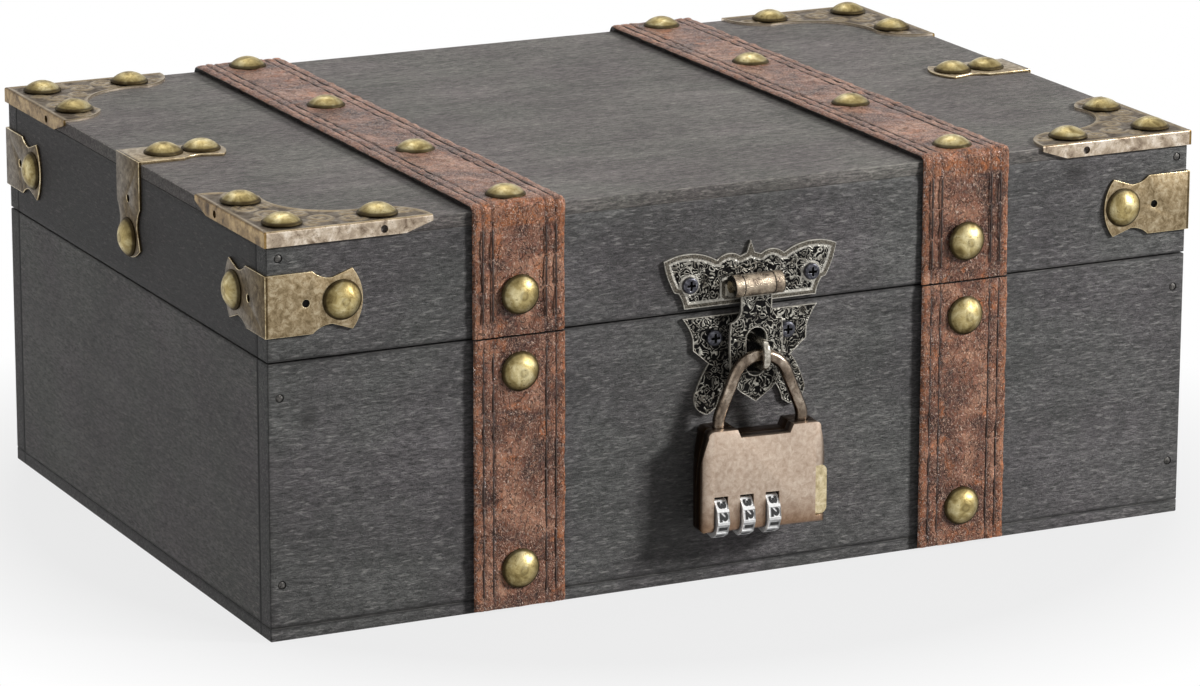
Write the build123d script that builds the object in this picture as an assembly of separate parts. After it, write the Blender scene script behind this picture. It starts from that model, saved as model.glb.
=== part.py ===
from build123d import *
from math import acos, asin, cos, radians, sin, tan
import os

# Treasure chest box: wooden body and lid, leather straps, brass trim, butterfly hasp and a
# three-dial padlock. Millimetres, +Z up, front towards -Y, origin under the middle of the base.

# Driving dimensions of the box
box_length = 290.0
box_depth = 200.0
body_height = 78.8
lid_height = 35.8
seam_gap = 0.4
wall = 7.0
board = 3.8

# Shared clearances and cutting allowance
overrun = 1.0
fit = 0.05
hole_play = 0.2

# Leather straps
strap_width = 28.0
strap_thickness = 2.0
strap_inset = 74.5
strap_bend = 2.2
strap_end_gap = 0.8

# Domed studs
stud_radius = 5.7
stud_height = 3.0
stud_sheet = 0.7
stud_shank_radius = 0.9
stud_point = 1.2
stud_wall_bite = 5.0
stud_board_bite = 3.0
strap_stud_lid_height = 11.6
strap_stud_upper_drop = 9.9
strap_stud_lower_height = 12.0
strap_stud_edge = 7.5
strap_stud_inner = 32.0

# Brads that hold the walls and the bottom board
brad_radius = 0.6
brad_length = 18.0
brad_head_radius = 1.0
brad_head = 0.6
brad_low_height = 16.0
brad_upper_drop = 9.8
brad_lid_drop = 7.0
brad_bottom_spacing = 98.0
brad_side_spacing = 60.0

# Brass sheet, top corner caps
brass_sheet = 0.8
cap_leg = 49.0
cap_width = 15.0
cap_skirt = 3.6
cap_skirt_end = 0.9
cap_skirt_taper = 8.0
cap_bend = 0.6
cap_corner_stud = 8.0
cap_leg_stud = 36.0
cap_leg_stud_inset = 7.5
cap_hole_place = 34.5
cap_lobe_shares = [(1.0, 0.10), (0.955, 0.58), (0.80, 0.97)]
cap_inner_share = 1.32
nail_hole_radius = 1.1

# Vertical corner brackets on the lid
bracket_leg = 28.0
bracket_half_height = 8.75
bracket_height = 15.7
bracket_stud = 21.8
bracket_hole = 11.2

# Brackets over the middle of the lid's end edges
side_top_leg = 28.5
side_down_leg = 28.5
side_half_width = 8.75
side_stud_outer = 10.3
side_stud_inner = 21.8
side_down_hole = 11.5
side_down_stud = 22.8

# Outline of one bracket leg, as shares of its length and its half width
leg_root_share = (0.47, 1.0)
leg_neck_share = (0.545, 0.83)
leg_waist_share = (0.68, 0.745)
leg_horn_share = (0.89, 0.977)

# Butterfly hasp
hasp_place = 1.5
hasp_sheet = 1.0
hasp_seam_gap = 1.4
wing_half_width = 27.2
wing_height = 17.8
wing_screw = 19.2
wing_screw_height = 6.8
tail_half_width = 21.3
tail_height = 28.6
tail_screw = 11.5
tail_screw_drop = 6.4
wing_start_share = (0.0, 1.0)
wing_shares = [
    [(0.045, 0.80)],
    [(0.12, 0.76)],
    [(0.24, 0.825), (0.39, 0.735)],
    [(0.66, 0.88), (1.0, 0.80)],
    [(0.952, 0.52), (0.88, 0.285)],
    [(0.83, 0.26)],
    [(0.785, 0.13), (0.765, 0.0)],
    [(0.0, 0.0)],
]
tail_start_share = (0.0, 0.0)
tail_shares = [
    [(1.0, 0.0)],
    [(0.90, -0.11), (0.845, -0.215)],
    [(0.84, -0.335)],
    [(0.61, -0.483)],
    [(0.71, -0.60), (0.79, -0.74)],
    [(0.79, -0.92), (0.62, -1.0)],
    [(0.49, -0.94)],
    [(0.30, -0.70), (0.0, -0.62)],
]

# Hasp barrel and flap
barrel_radius = 3.2
barrel_lift = 0.2
barrel_height = 7.3
collar_length = 2.8
neck_width = 9.6
knuckle_gap = 0.15
hasp_pin_radius = 1.2
pin_head = 0.5
flap_sheet = 1.2
flap_half_width = 8.4
flap_length = 34.0
slot_top = 12.4
slot_length = 14.0
slot_width = 6.5
flap_start_share = (0.0, 0.0)
flap_shares = [
    [(0.571, 0.0)],
    [(0.571, -0.19)],
    [(0.68, -0.27), (0.95, -0.31)],
    [(1.0, -0.45), (0.97, -0.62)],
    [(0.85, -0.80), (0.60, -0.90)],
    [(0.0, -1.0)],
]

# Staple
staple_wire = 2.3
staple_spacing = 6.9
staple_reach = 12.5
staple_corner = 2.4
staple_root = 5.0

# Cross-recess screws
screw_head_radius = 2.4
screw_head = 1.3
screw_shank_radius = 1.1
screw_length = 6.4
recess_width = 0.8
recess_length = 2.8
recess_depth = 0.7

# Back hinges
hinge_inset = 44.0
hinge_length = 25.0
hinge_leaf_height = 11.0
hinge_sheet = 1.1
hinge_knuckle_radius = 2.2
hinge_lift = 0.1
hinge_pin_radius = 1.0
hinge_knuckle_gap = 0.2
hinge_leaf_gap = 0.4
hinge_screw_spacing = 16.0
hinge_screw_head_radius = 1.8
hinge_screw_head = 0.9
hinge_screw_shank_radius = 0.9
hinge_screw_length = 5.6

# Padlock shackle
bar_radius = 1.8
bar_clearance = 0.1
bar_flap_gap = 0.75
leg_spacing = 25.2
crown_arc = 8.4
side_lean = 22.0
side_bend = 8.0
leg_show = 1.2
toe_depth = 7.0
padlock_turn = 5.0

# Padlock case
case_half_width = 19.4
case_height = 30.0
case_thickness = 9.7
case_setback = 0.35
case_plan_round = 4.2
case_bottom_round = 2.6
leg_hole_play = 0.1
case_start_share = (0.0, 0.92)
case_shares = [
    [(0.385, 0.92)],
    [(0.44, 1.0)],
    [(0.80, 1.0)],
    [(0.855, 0.984), (0.88, 0.93)],
    [(0.965, 0.68), (1.0, 0.42)],
    [(1.0, 0.11)],
    [(0.975, 0.03), (0.90, 0.0)],
    [(0.0, 0.0)],
]
case_pin_radius = 0.9
case_pin_depth = 3.6
case_pin_shares = [(-0.33, 0.74), (0.13, 0.61), (0.52, 0.21)]

# Padlock dials
dial_count = 3
dial_sides = 10
dial_radius = 6.3
dial_width = 3.6
dial_pitch = 7.8
dial_first = -13.4
dial_axis_height = 4.3
dial_forward = 0.7
dial_slot_play = 0.3
spindle_radius = 1.5
spindle_end = 1.6

# Padlock release button, latch and springs
button_inner = 14.2
button_outer = 19.25
button_low = 2.6
button_tall = 14.4
button_thickness = 6.8
button_round = 2.0
button_travel = 2.5
button_window = 15.4
button_play = 0.1
button_spring_height = 4.0
button_bore_depth = 3.2
spring_radius = 1.5
spring_wall = 0.5
spring_seat = 0.1
spring_entry = 0.4
shackle_spring_length = 3.0
latch_sheet = 2.0
latch_arm = 2.0
latch_top_wall = 3.4
latch_gap = 0.2

# Places worked out from the sizes above
half_length = box_length / 2
half_depth = box_depth / 2
strap_place = half_length - strap_inset
hinge_place = half_length - hinge_inset
lid_low = body_height + seam_gap
lid_top = lid_low + lid_height
seam_middle = body_height + seam_gap / 2
bracket_middle = lid_low + bracket_height
wing_low = seam_middle + hasp_seam_gap
tail_top = seam_middle - hasp_seam_gap
pin_height = seam_middle + barrel_height
pin_lift = hasp_sheet + barrel_lift + barrel_radius
staple_middle = pin_height - slot_top - slot_length / 2
bar_lift = pin_lift + flap_sheet / 2 + bar_flap_gap + bar_radius
bar_height = staple_middle - staple_spacing / 2 + staple_wire / 2 + bar_clearance + bar_radius
hinge_axis_depth = half_depth + hinge_lift + hinge_knuckle_radius


def block(x_range, y_range, z_range):
    """A box between two places on each axis."""
    size = [high - low for low, high in (x_range, y_range, z_range)]
    middle = [(low + high) / 2 for low, high in (x_range, y_range, z_range)]
    return Pos(*middle) * Box(*size)


def front_face(x, z, lift=0):
    """A plane on the front of the box, lifted off the wood, looking outwards."""
    return Plane(origin=(x, -half_depth - lift, z), x_dir=(1, 0, 0), z_dir=(0, -1, 0))


def back_face(x, z, lift=0):
    return Plane(origin=(x, half_depth + lift, z), x_dir=(-1, 0, 0), z_dir=(0, 1, 0))


def left_face(y, z, lift=0):
    return Plane(origin=(-half_length - lift, y, z), x_dir=(0, -1, 0), z_dir=(-1, 0, 0))


def right_face(y, z, lift=0):
    return Plane(origin=(half_length + lift, y, z), x_dir=(0, 1, 0), z_dir=(1, 0, 0))


def top_face(x, y, lift=0):
    return Plane(origin=(x, y, lid_top + lift), x_dir=(1, 0, 0), z_dir=(0, 0, 1))


def under_face(x, y):
    return Plane(origin=(x, y, 0), x_dir=(1, 0, 0), z_dir=(0, 0, -1))


def peg(radius, depth, above=0):
    """A round peg from a given height above its plane down to a depth below it."""
    return Pos(0, 0, (above - depth) / 2) * Cylinder(radius, depth + above)


def path_edges(start, steps, across, along):
    """Lines and three-point arcs through shares of two sizes."""
    place = (start[0] * across, start[1] * along)
    edges = []
    for step in steps:
        points = [(share[0] * across, share[1] * along) for share in step]
        edge = Line(place, *points) if len(points) == 1 else ThreePointArc(place, *points)
        edges.append(edge)
        place = points[-1]
    return edges


def mirrored_face(start, steps, half_width, height):
    """A face whose right half is given in shares, mirrored about its upright middle line."""
    half = path_edges(start, steps, half_width, height)
    return make_face(half + [mirror(edge, about=Plane.YZ) for edge in half])


def four_corners(piece):
    """The front-left piece and its three mirror images, by name."""
    right = mirror(piece, about=Plane.YZ)
    return {
        "front_left": piece,
        "front_right": right,
        "back_left": mirror(piece, about=Plane.XZ),
        "back_right": mirror(right, about=Plane.XZ),
    }


# Fasteners


def stud(layer, bite):
    """A domed sheet head on a pointed shank; its rim rests on the plane it is placed on."""
    ball = (stud_radius ** 2 + stud_height ** 2) / (2 * stud_height)
    half_turn = asin(stud_radius / ball)
    low = stud_height - ball
    inner = ball - stud_sheet
    inner_turn = acos(-low / inner)
    shank_turn = asin(stud_shank_radius / inner)
    depth = layer + bite
    outer_arc = ThreePointArc(
        (0, 0, stud_height),
        (ball * sin(half_turn / 2), 0, low + ball * cos(half_turn / 2)),
        (stud_radius, 0, 0),
    )
    middle_turn = (inner_turn + shank_turn) / 2
    rim = inner * sin(inner_turn)
    shank_top = low + inner * cos(shank_turn)
    inner_arc = ThreePointArc(
        (rim, 0, 0),
        (inner * sin(middle_turn), 0, low + inner * cos(middle_turn)),
        (stud_shank_radius, 0, shank_top),
    )
    profile = make_face([
        outer_arc,
        Line((stud_radius, 0, 0), (rim, 0, 0)),
        inner_arc,
        Line((stud_shank_radius, 0, shank_top), (stud_shank_radius, 0, stud_point - depth)),
        Line((stud_shank_radius, 0, stud_point - depth), (0, 0, -depth)),
        Line((0, 0, -depth), (0, 0, stud_height)),
    ])
    return revolve(profile, Axis.Z)


def stud_hole(layer, bite):
    return peg(stud_shank_radius + fit, layer + bite + hole_play, overrun)


def screw(head_radius, head, shank_radius, length):
    """A pan-head screw with a cross recess."""
    body = peg(head_radius, 0, head)
    body = fillet(body.edges().group_by(Axis.Z)[-1], head / 2) + peg(shank_radius, length)
    slot = Box(recess_length, recess_width, recess_depth)
    return body - Pos(0, 0, head - recess_depth / 2) * (slot + Rot(0, 0, 90) * slot)


def screw_hole(shank_radius, length):
    return peg(shank_radius + fit, length + hole_play, overrun)


def hasp_screw():
    return screw(screw_head_radius, screw_head, screw_shank_radius, hasp_sheet + screw_length)


def hasp_screw_hole():
    return screw_hole(screw_shank_radius, hasp_sheet + screw_length)


def hinge_screw():
    grip = hinge_sheet + hinge_screw_length
    return screw(hinge_screw_head_radius, hinge_screw_head, hinge_screw_shank_radius, grip)


def hinge_screw_hole():
    return screw_hole(hinge_screw_shank_radius, hinge_sheet + hinge_screw_length)


def brad():
    return peg(brad_radius, brad_length) + peg(brad_head_radius, brad_head)


def brad_hole():
    shaft = peg(brad_radius + fit, brad_length + hole_play, overrun)
    return shaft + peg(brad_head_radius + fit, brad_head, overrun)


def placed(places, piece):
    return [place * piece for place in places]


# Where the fasteners go
post = half_length - wall / 2
body_stud_front = [
    front_face(side * strap_place, height, strap_thickness)
    for side in (-1, 1)
    for height in (strap_stud_lower_height, body_height - strap_stud_upper_drop)
]
body_stud_back = [
    back_face(side * strap_place, height, strap_thickness)
    for side in (-1, 1)
    for height in (strap_stud_lower_height, body_height - strap_stud_upper_drop)
]
lid_stud_height = lid_low + strap_stud_lid_height
lid_stud_front = [
    front_face(side * strap_place, lid_stud_height, strap_thickness) for side in (-1, 1)
]
lid_stud_back = [
    back_face(side * strap_place, lid_stud_height, strap_thickness) for side in (-1, 1)
]
lid_stud_top = [
    top_face(side * strap_place, end * place, strap_thickness)
    for side in (-1, 1)
    for end in (-1, 1)
    for place in (strap_stud_inner, half_depth - strap_stud_edge)
]
cap_stud_local = [
    (cap_corner_stud, cap_corner_stud),
    (cap_leg_stud, cap_leg_stud_inset),
    (cap_leg_stud_inset, cap_leg_stud),
]
cap_stud_top = [
    top_face(side * (half_length - across), end * (half_depth - along), brass_sheet)
    for side in (-1, 1)
    for end in (-1, 1)
    for across, along in cap_stud_local
]
bracket_stud_front = [
    front_face(side * (half_length - bracket_stud), bracket_middle, brass_sheet) for side in (-1, 1)
]
bracket_stud_back = [
    back_face(side * (half_length - bracket_stud), bracket_middle, brass_sheet) for side in (-1, 1)
]
bracket_stud_left = [
    left_face(end * (half_depth - bracket_stud), bracket_middle, brass_sheet) for end in (-1, 1)
]
bracket_stud_right = [
    right_face(end * (half_depth - bracket_stud), bracket_middle, brass_sheet) for end in (-1, 1)
]
side_stud_top = [
    top_face(side * (half_length - place), 0, brass_sheet)
    for side in (-1, 1)
    for place in (side_stud_outer, side_stud_inner)
]
side_stud_left = [left_face(0, lid_top - side_down_stud, brass_sheet)]
side_stud_right = [right_face(0, lid_top - side_down_stud, brass_sheet)]
body_brad_front = [
    front_face(side * post, height)
    for side in (-1, 1)
    for height in (brad_low_height, body_height - brad_upper_drop)
]
body_brad_back = [
    back_face(side * post, height)
    for side in (-1, 1)
    for height in (brad_low_height, body_height - brad_upper_drop)
]
bottom_brad_long = [
    under_face(step * brad_bottom_spacing, end * (half_depth - wall / 2))
    for step in (-1, 0, 1)
    for end in (-1, 1)
]
bottom_brad_side = [
    under_face(side * post, step * brad_side_spacing) for side in (-1, 1) for step in (-1, 1)
]
lid_brad_front = [front_face(side * post, lid_top - brad_lid_drop) for side in (-1, 1)]
lid_brad_back = [back_face(side * post, lid_top - brad_lid_drop) for side in (-1, 1)]
wing_screws = [
    front_face(hasp_place + side * wing_screw, wing_low + wing_screw_height, hasp_sheet)
    for side in (-1, 1)
]
tail_screws = [
    front_face(hasp_place + side * tail_screw, tail_top - tail_screw_drop, hasp_sheet)
    for side in (-1, 1)
]
hinge_screw_reach = hinge_knuckle_radius + hinge_leaf_gap + (
    hinge_leaf_height - hinge_knuckle_radius - hinge_leaf_gap
) / 2
hinge_screw_x = [
    side * hinge_place + step * hinge_screw_spacing / 2 for side in (-1, 1) for step in (-1, 1)
]
hinge_body_screws = [back_face(x, seam_middle - hinge_screw_reach, hinge_sheet) for x in hinge_screw_x]
hinge_lid_screws = [back_face(x, seam_middle + hinge_screw_reach, hinge_sheet) for x in hinge_screw_x]

nodes = {}

# Body: bottom board and four walls; the front and back run over the ends of the side walls
strap_wall_hole = stud_hole(strap_thickness, stud_wall_bite)
strap_top_hole = stud_hole(strap_thickness, stud_board_bite)
brass_wall_hole = stud_hole(brass_sheet, stud_wall_bite)
brass_top_hole = stud_hole(brass_sheet, stud_board_bite)
staple_legs = [
    front_face(hasp_place, staple_middle + end * staple_spacing / 2) for end in (-1, 1)
]
staple_hole = peg(staple_wire / 2 + fit, staple_root + hole_play, hasp_sheet + overrun)
bottom_holes = placed(bottom_brad_long + bottom_brad_side, brad_hole())
body_brad_holes = placed(body_brad_front + body_brad_back, brad_hole())

nodes["bottom_board"] = block(
    (-half_length, half_length), (-half_depth, half_depth), (0, board)
) - bottom_holes
nodes["body_front_panel"] = block(
    (-half_length, half_length), (-half_depth, wall - half_depth), (board, body_height)
) - (
    placed(body_stud_front, strap_wall_hole)
    + placed(tail_screws, hasp_screw_hole())
    + placed(staple_legs, staple_hole)
    + placed(body_brad_front + bottom_brad_long, brad_hole())
)
nodes["body_back_panel"] = block(
    (-half_length, half_length), (half_depth - wall, half_depth), (board, body_height)
) - (
    placed(body_stud_back, strap_wall_hole)
    + placed(hinge_body_screws, hinge_screw_hole())
    + placed(body_brad_back + bottom_brad_long, brad_hole())
)
for name, side in (("left", -1), ("right", 1)):
    near, far = sorted((side * half_length, side * (half_length - wall)))
    nodes[f"body_{name}_panel"] = block(
        (near, far), (wall - half_depth, half_depth - wall), (board, body_height)
    ) - (body_brad_holes + placed(bottom_brad_side, brad_hole()))
nodes["body_brads"] = Compound(
    placed(body_brad_front + body_brad_back + bottom_brad_long + bottom_brad_side, brad())
)

# Lid: four walls under a top board
lid_brad_holes = placed(lid_brad_front + lid_brad_back, brad_hole())
wall_top = lid_top - board
nodes["lid_top_board"] = block(
    (-half_length, half_length), (-half_depth, half_depth), (wall_top, lid_top)
) - (
    placed(lid_stud_top, strap_top_hole) + placed(cap_stud_top + side_stud_top, brass_top_hole)
)
nodes["lid_front_panel"] = block(
    (-half_length, half_length), (-half_depth, wall - half_depth), (lid_low, wall_top)
) - (
    placed(lid_stud_front, strap_wall_hole)
    + placed(bracket_stud_front, brass_wall_hole)
    + placed(wing_screws, hasp_screw_hole())
    + placed(lid_brad_front, brad_hole())
)
nodes["lid_back_panel"] = block(
    (-half_length, half_length), (half_depth - wall, half_depth), (lid_low, wall_top)
) - (
    placed(lid_stud_back, strap_wall_hole)
    + placed(bracket_stud_back, brass_wall_hole)
    + placed(hinge_lid_screws, hinge_screw_hole())
    + placed(lid_brad_back, brad_hole())
)
lid_side_holes = placed(
    bracket_stud_left + bracket_stud_right + side_stud_left + side_stud_right, brass_wall_hole
)
for name, side in (("left", -1), ("right", 1)):
    near, far = sorted((side * half_length, side * (half_length - wall)))
    nodes[f"lid_{name}_panel"] = block(
        (near, far), (wall - half_depth, half_depth - wall), (lid_low, wall_top)
    ) - (lid_brad_holes + lid_side_holes)
nodes["lid_brads"] = Compound(placed(lid_brad_front + lid_brad_back, brad()))

# Leather straps: one over the lid and one down the front and the back on each side, cut at the seam
for name, side in (("left", -1), ("right", 1)):
    across = (side * strap_place - strap_width / 2, side * strap_place + strap_width / 2)
    reach = half_depth + strap_thickness
    band = block(across, (-reach, reach), (lid_low, lid_top + strap_thickness))
    band = fillet(band.edges().filter_by(Axis.X).group_by(Axis.Z)[-1], strap_bend)
    band -= block(across, (-half_depth, half_depth), (lid_low - overrun, lid_top))
    nodes[f"lid_strap_{name}"] = band - (
        placed(lid_stud_front + lid_stud_back, strap_wall_hole) + placed(lid_stud_top, strap_top_hole)
    )
    strap_heights = (strap_end_gap, body_height)
    nodes[f"body_front_strap_{name}"] = block(across, (-reach, -half_depth), strap_heights) - placed(
        body_stud_front, strap_wall_hole
    )
    nodes[f"body_back_strap_{name}"] = block(across, (half_depth, reach), strap_heights) - placed(
        body_stud_back, strap_wall_hole
    )
nodes["lid_strap_studs"] = Compound(
    placed(lid_stud_front + lid_stud_back, stud(strap_thickness, stud_wall_bite))
    + placed(lid_stud_top, stud(strap_thickness, stud_board_bite))
)
nodes["body_strap_studs"] = Compound(
    placed(body_stud_front + body_stud_back, stud(strap_thickness, stud_wall_bite))
)

# Brass caps over the four top corners, each with a skirt down both sides
lobe = [(across * cap_leg, along * cap_width) for across, along in cap_lobe_shares]
swapped = [(y, x) for x, y in lobe]
inner = cap_inner_share * cap_width
cap_plate = extrude(
    make_face([
        Line((-brass_sheet, -brass_sheet), (cap_leg, -brass_sheet)),
        Line((cap_leg, -brass_sheet), lobe[0]),
        ThreePointArc(*lobe),
        ThreePointArc(lobe[2], (inner, inner), swapped[2]),
        ThreePointArc(swapped[2], swapped[1], swapped[0]),
        Line(swapped[0], (-brass_sheet, cap_leg)),
        Line((-brass_sheet, cap_leg), (-brass_sheet, -brass_sheet)),
    ]),
    brass_sheet,
)
skirt_outline = Polyline(
    (-brass_sheet, -cap_skirt),
    (cap_leg - cap_skirt_taper, -cap_skirt),
    (cap_leg, -cap_skirt_end),
    (cap_leg, brass_sheet),
    (-brass_sheet, brass_sheet),
    close=True,
)
skirt = Plane.XZ * extrude(make_face(skirt_outline), brass_sheet)
skirt -= Pos(cap_hole_place, 0, -cap_skirt / 2) * (
    Rot(90, 0, 0) * Cylinder(nail_hole_radius, 2 * (brass_sheet + overrun))
)
diagonal = Plane(origin=(0, 0, 0), z_dir=(1, -1, 0))
cap = cap_plate + skirt + mirror(skirt, about=diagonal)
bend_edges = (
    cap.edges().filter_by(Axis.X).group_by(Axis.Z)[-1].sort_by(Axis.Y)[0:1]
    + cap.edges().filter_by(Axis.Y).group_by(Axis.Z)[-1].sort_by(Axis.X)[0:1]
)
cap = fillet(bend_edges, cap_bend)
cap = Pos(-half_length, -half_depth, lid_top) * cap
cap -= placed(cap_stud_top, brass_top_hole)
for corner, piece in four_corners(cap).items():
    nodes[f"corner_cap_{corner}"] = piece
nodes["corner_cap_studs"] = Compound(placed(cap_stud_top, stud(brass_sheet, stud_board_bite)))


def leg_plate(length, half_width):
    """A waisted bracket leg with a horned end, from just behind its bend to its end."""
    points = [
        (share[0] * length, share[1] * half_width)
        for share in (leg_root_share, leg_neck_share, leg_waist_share, leg_horn_share)
    ]
    root, neck, waist, horn = points
    start = (-brass_sheet, half_width)
    upper = [Line(start, root), ThreePointArc(root, neck, waist), Line(waist, horn)]
    lower = [mirror(edge, about=Plane.XZ) for edge in upper]
    end = ThreePointArc(horn, (length, 0), (horn[0], -horn[1]))
    back = Line(start, (-brass_sheet, -half_width))
    return extrude(make_face(upper + lower + [end, back]), brass_sheet)


# Brackets round the four upright corners of the lid
upright_leg = front_face(-half_length, bracket_middle) * (
    leg_plate(bracket_leg, bracket_half_height) - Pos(bracket_hole, 0, 0) * peg(
        nail_hole_radius, overrun, overrun + brass_sheet
    )
)
corner_diagonal = Plane(origin=(-half_length, -half_depth, 0), z_dir=(1, -1, 0))
bracket = upright_leg + mirror(upright_leg, about=corner_diagonal)
bracket -= placed(bracket_stud_front + bracket_stud_left, brass_wall_hole)
for corner, piece in four_corners(bracket).items():
    nodes[f"corner_bracket_{corner}"] = piece
nodes["corner_bracket_studs"] = Compound(
    placed(
        bracket_stud_front + bracket_stud_back + bracket_stud_left + bracket_stud_right,
        stud(brass_sheet, stud_wall_bite),
    )
)

# Brackets over the middle of the lid's left and right edges
over_leg = top_face(-half_length, 0) * leg_plate(side_top_leg, side_half_width)
down_plane = Plane(origin=(-half_length, 0, lid_top), x_dir=(0, 0, -1), z_dir=(-1, 0, 0))
down_leg = down_plane * (
    leg_plate(side_down_leg, side_half_width) - Pos(side_down_hole, 0, 0) * peg(
        nail_hole_radius, overrun, overrun + brass_sheet
    )
)
side_bracket = over_leg + down_leg
side_bracket -= placed(side_stud_top, brass_top_hole) + placed(side_stud_left, brass_wall_hole)
nodes["side_bracket_left"] = side_bracket
nodes["side_bracket_right"] = mirror(side_bracket, about=Plane.YZ)
nodes["side_bracket_studs"] = Compound(
    placed(side_stud_top, stud(brass_sheet, stud_board_bite))
    + placed(side_stud_left + side_stud_right, stud(brass_sheet, stud_wall_bite))
)

# Hasp: winged plate on the lid with two barrel collars, the flap that hangs from its pin
collar_inner = neck_width / 2 + knuckle_gap
barrel_half = collar_inner + collar_length
wing_plane = front_face(hasp_place, wing_low)
wing = wing_plane * extrude(
    mirrored_face(wing_start_share, wing_shares, wing_half_width, wing_height), hasp_sheet
)
pin_place = Pos(hasp_place, -half_depth - pin_lift, pin_height)
along_x = Rot(0, 90, 0)
collars = []
for side in (-1, 1):
    middle = side * (collar_inner + collar_length / 2)
    ring = Pos(middle, 0, 0) * along_x * Cylinder(barrel_radius, collar_length)
    foot = block(
        (middle - collar_length / 2, middle + collar_length / 2),
        (0, pin_lift - hasp_sheet),
        (-barrel_radius, 0),
    )
    collars.append(ring + foot)
hasp_bore = along_x * Cylinder(hasp_pin_radius + fit, 2 * (barrel_half + overrun))
nodes["hasp_plate"] = (
    wing + placed([pin_place], collars[0] + collars[1]) - placed(wing_screws, hasp_screw_hole())
) - pin_place * hasp_bore
hasp_pin = along_x * Cylinder(hasp_pin_radius, 2 * barrel_half)
for side in (-1, 1):
    hasp_pin += Pos(side * (barrel_half + pin_head / 2), 0, 0) * along_x * Cylinder(
        hasp_pin_radius + pin_head, pin_head
    )
nodes["hasp_pin"] = pin_place * hasp_pin
nodes["hasp_plate_screws"] = Compound(placed(wing_screws, hasp_screw()))

flap_plane = front_face(hasp_place, pin_height, pin_lift - flap_sheet / 2)
flap = extrude(mirrored_face(flap_start_share, flap_shares, flap_half_width, flap_length), flap_sheet)
flap -= Pos(0, -slot_top - slot_length / 2, flap_sheet / 2) * extrude(
    SlotOverall(slot_length, slot_width, rotation=90), flap_sheet, both=True
)
barrel = pin_place * (along_x * Cylinder(barrel_radius, neck_width))
nodes["hasp_flap"] = flap_plane * flap + barrel - pin_place * hasp_bore

# Staple plate on the body and the staple that stands through the flap's slot
tail_plane = front_face(hasp_place, tail_top)
nodes["staple_plate"] = tail_plane * extrude(
    mirrored_face(tail_start_share, tail_shares, tail_half_width, tail_height), hasp_sheet
) - (placed(tail_screws, hasp_screw_hole()) + placed(staple_legs, staple_hole))
nodes["staple_plate_screws"] = Compound(placed(tail_screws, hasp_screw()))
staple_out = staple_reach - staple_wire / 2
half_spacing = staple_spacing / 2
staple_line = FilletPolyline(
    (0, -half_spacing, -staple_root),
    (0, -half_spacing, staple_out),
    (0, half_spacing, staple_out),
    (0, half_spacing, -staple_root),
    radius=staple_corner,
)
staple = sweep(Pos(0, -half_spacing, -staple_root) * Circle(staple_wire / 2), path=staple_line)
nodes["staple"] = front_face(hasp_place, staple_middle) * staple

# Butt hinges on the back: three knuckles, the lid's in the middle
knuckle = (hinge_length - 2 * hinge_knuckle_gap) / 3
outer_knuckle = knuckle + hinge_knuckle_gap
hinge_bore = along_x * Cylinder(hinge_pin_radius + fit, hinge_length + overrun)
leaf_start = hinge_knuckle_radius + hinge_leaf_gap
leaf_lift = hinge_lift + hinge_knuckle_radius


def hinge_leaf(middles, up):
    """A leaf on the back wall with the knuckles whose middles are given; up is 1 on the lid."""
    low, high = sorted((up * leaf_start, up * hinge_leaf_height))
    foot_low, foot_high = sorted((0, up * leaf_start))
    sheet = (-leaf_lift, hinge_sheet - leaf_lift)
    leaf = block((-hinge_length / 2, hinge_length / 2), sheet, (low, high))
    for middle in middles:
        across = (middle - knuckle / 2, middle + knuckle / 2)
        leaf += Pos(middle, 0, 0) * along_x * Cylinder(hinge_knuckle_radius, knuckle)
        leaf += block(across, sheet, (foot_low, foot_high))
    return leaf - hinge_bore


body_leaf = hinge_leaf((-outer_knuckle, outer_knuckle), -1)
lid_leaf = hinge_leaf((0,), 1)
hinge_pin = along_x * Cylinder(hinge_pin_radius, hinge_length)
hinge_places = [Pos(side * hinge_place, hinge_axis_depth, seam_middle) for side in (-1, 1)]
for name, place in zip(("left", "right"), hinge_places):
    nodes[f"hinge_body_leaf_{name}"] = place * body_leaf - placed(hinge_body_screws, hinge_screw_hole())
    nodes[f"hinge_lid_leaf_{name}"] = place * lid_leaf - placed(hinge_lid_screws, hinge_screw_hole())
nodes["hinge_pins"] = Compound(placed(hinge_places, hinge_pin))
nodes["hinge_body_screws"] = Compound(placed(hinge_body_screws, hinge_screw()))
nodes["hinge_lid_screws"] = Compound(placed(hinge_lid_screws, hinge_screw()))

# Padlock, in a frame whose origin is the top of the shackle's middle line; -Y faces outwards
padlock_place = Pos(hasp_place, -half_depth - bar_lift, bar_height) * Rot(0, 0, -padlock_turn)
leg_x = leg_spacing / 2
lean = radians(side_lean)
join_x = crown_arc * cos(lean)
join_z = crown_arc * (sin(lean) - 1)
bend_x = leg_x - side_bend * (1 - cos(lean))
bend_z = join_z - (bend_x - join_x) / tan(lean)
shoulder = bend_z - side_bend * sin(lean)
case_top = shoulder - leg_show
case_low = case_top - case_height
dial_axis = case_low + dial_axis_height
dial_slot_top = dial_axis + dial_radius + dial_slot_play
heel_hole_low = dial_slot_top + spring_wall
heel_low = heel_hole_low + shackle_spring_length + 2 * spring_seat


def bend_point(side):
    """The middle of the soft bend between a leg and its leaning side."""
    return (side * (leg_x - side_bend * (1 - cos(lean / 2))), 0, shoulder + side_bend * sin(lean / 2))


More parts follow.
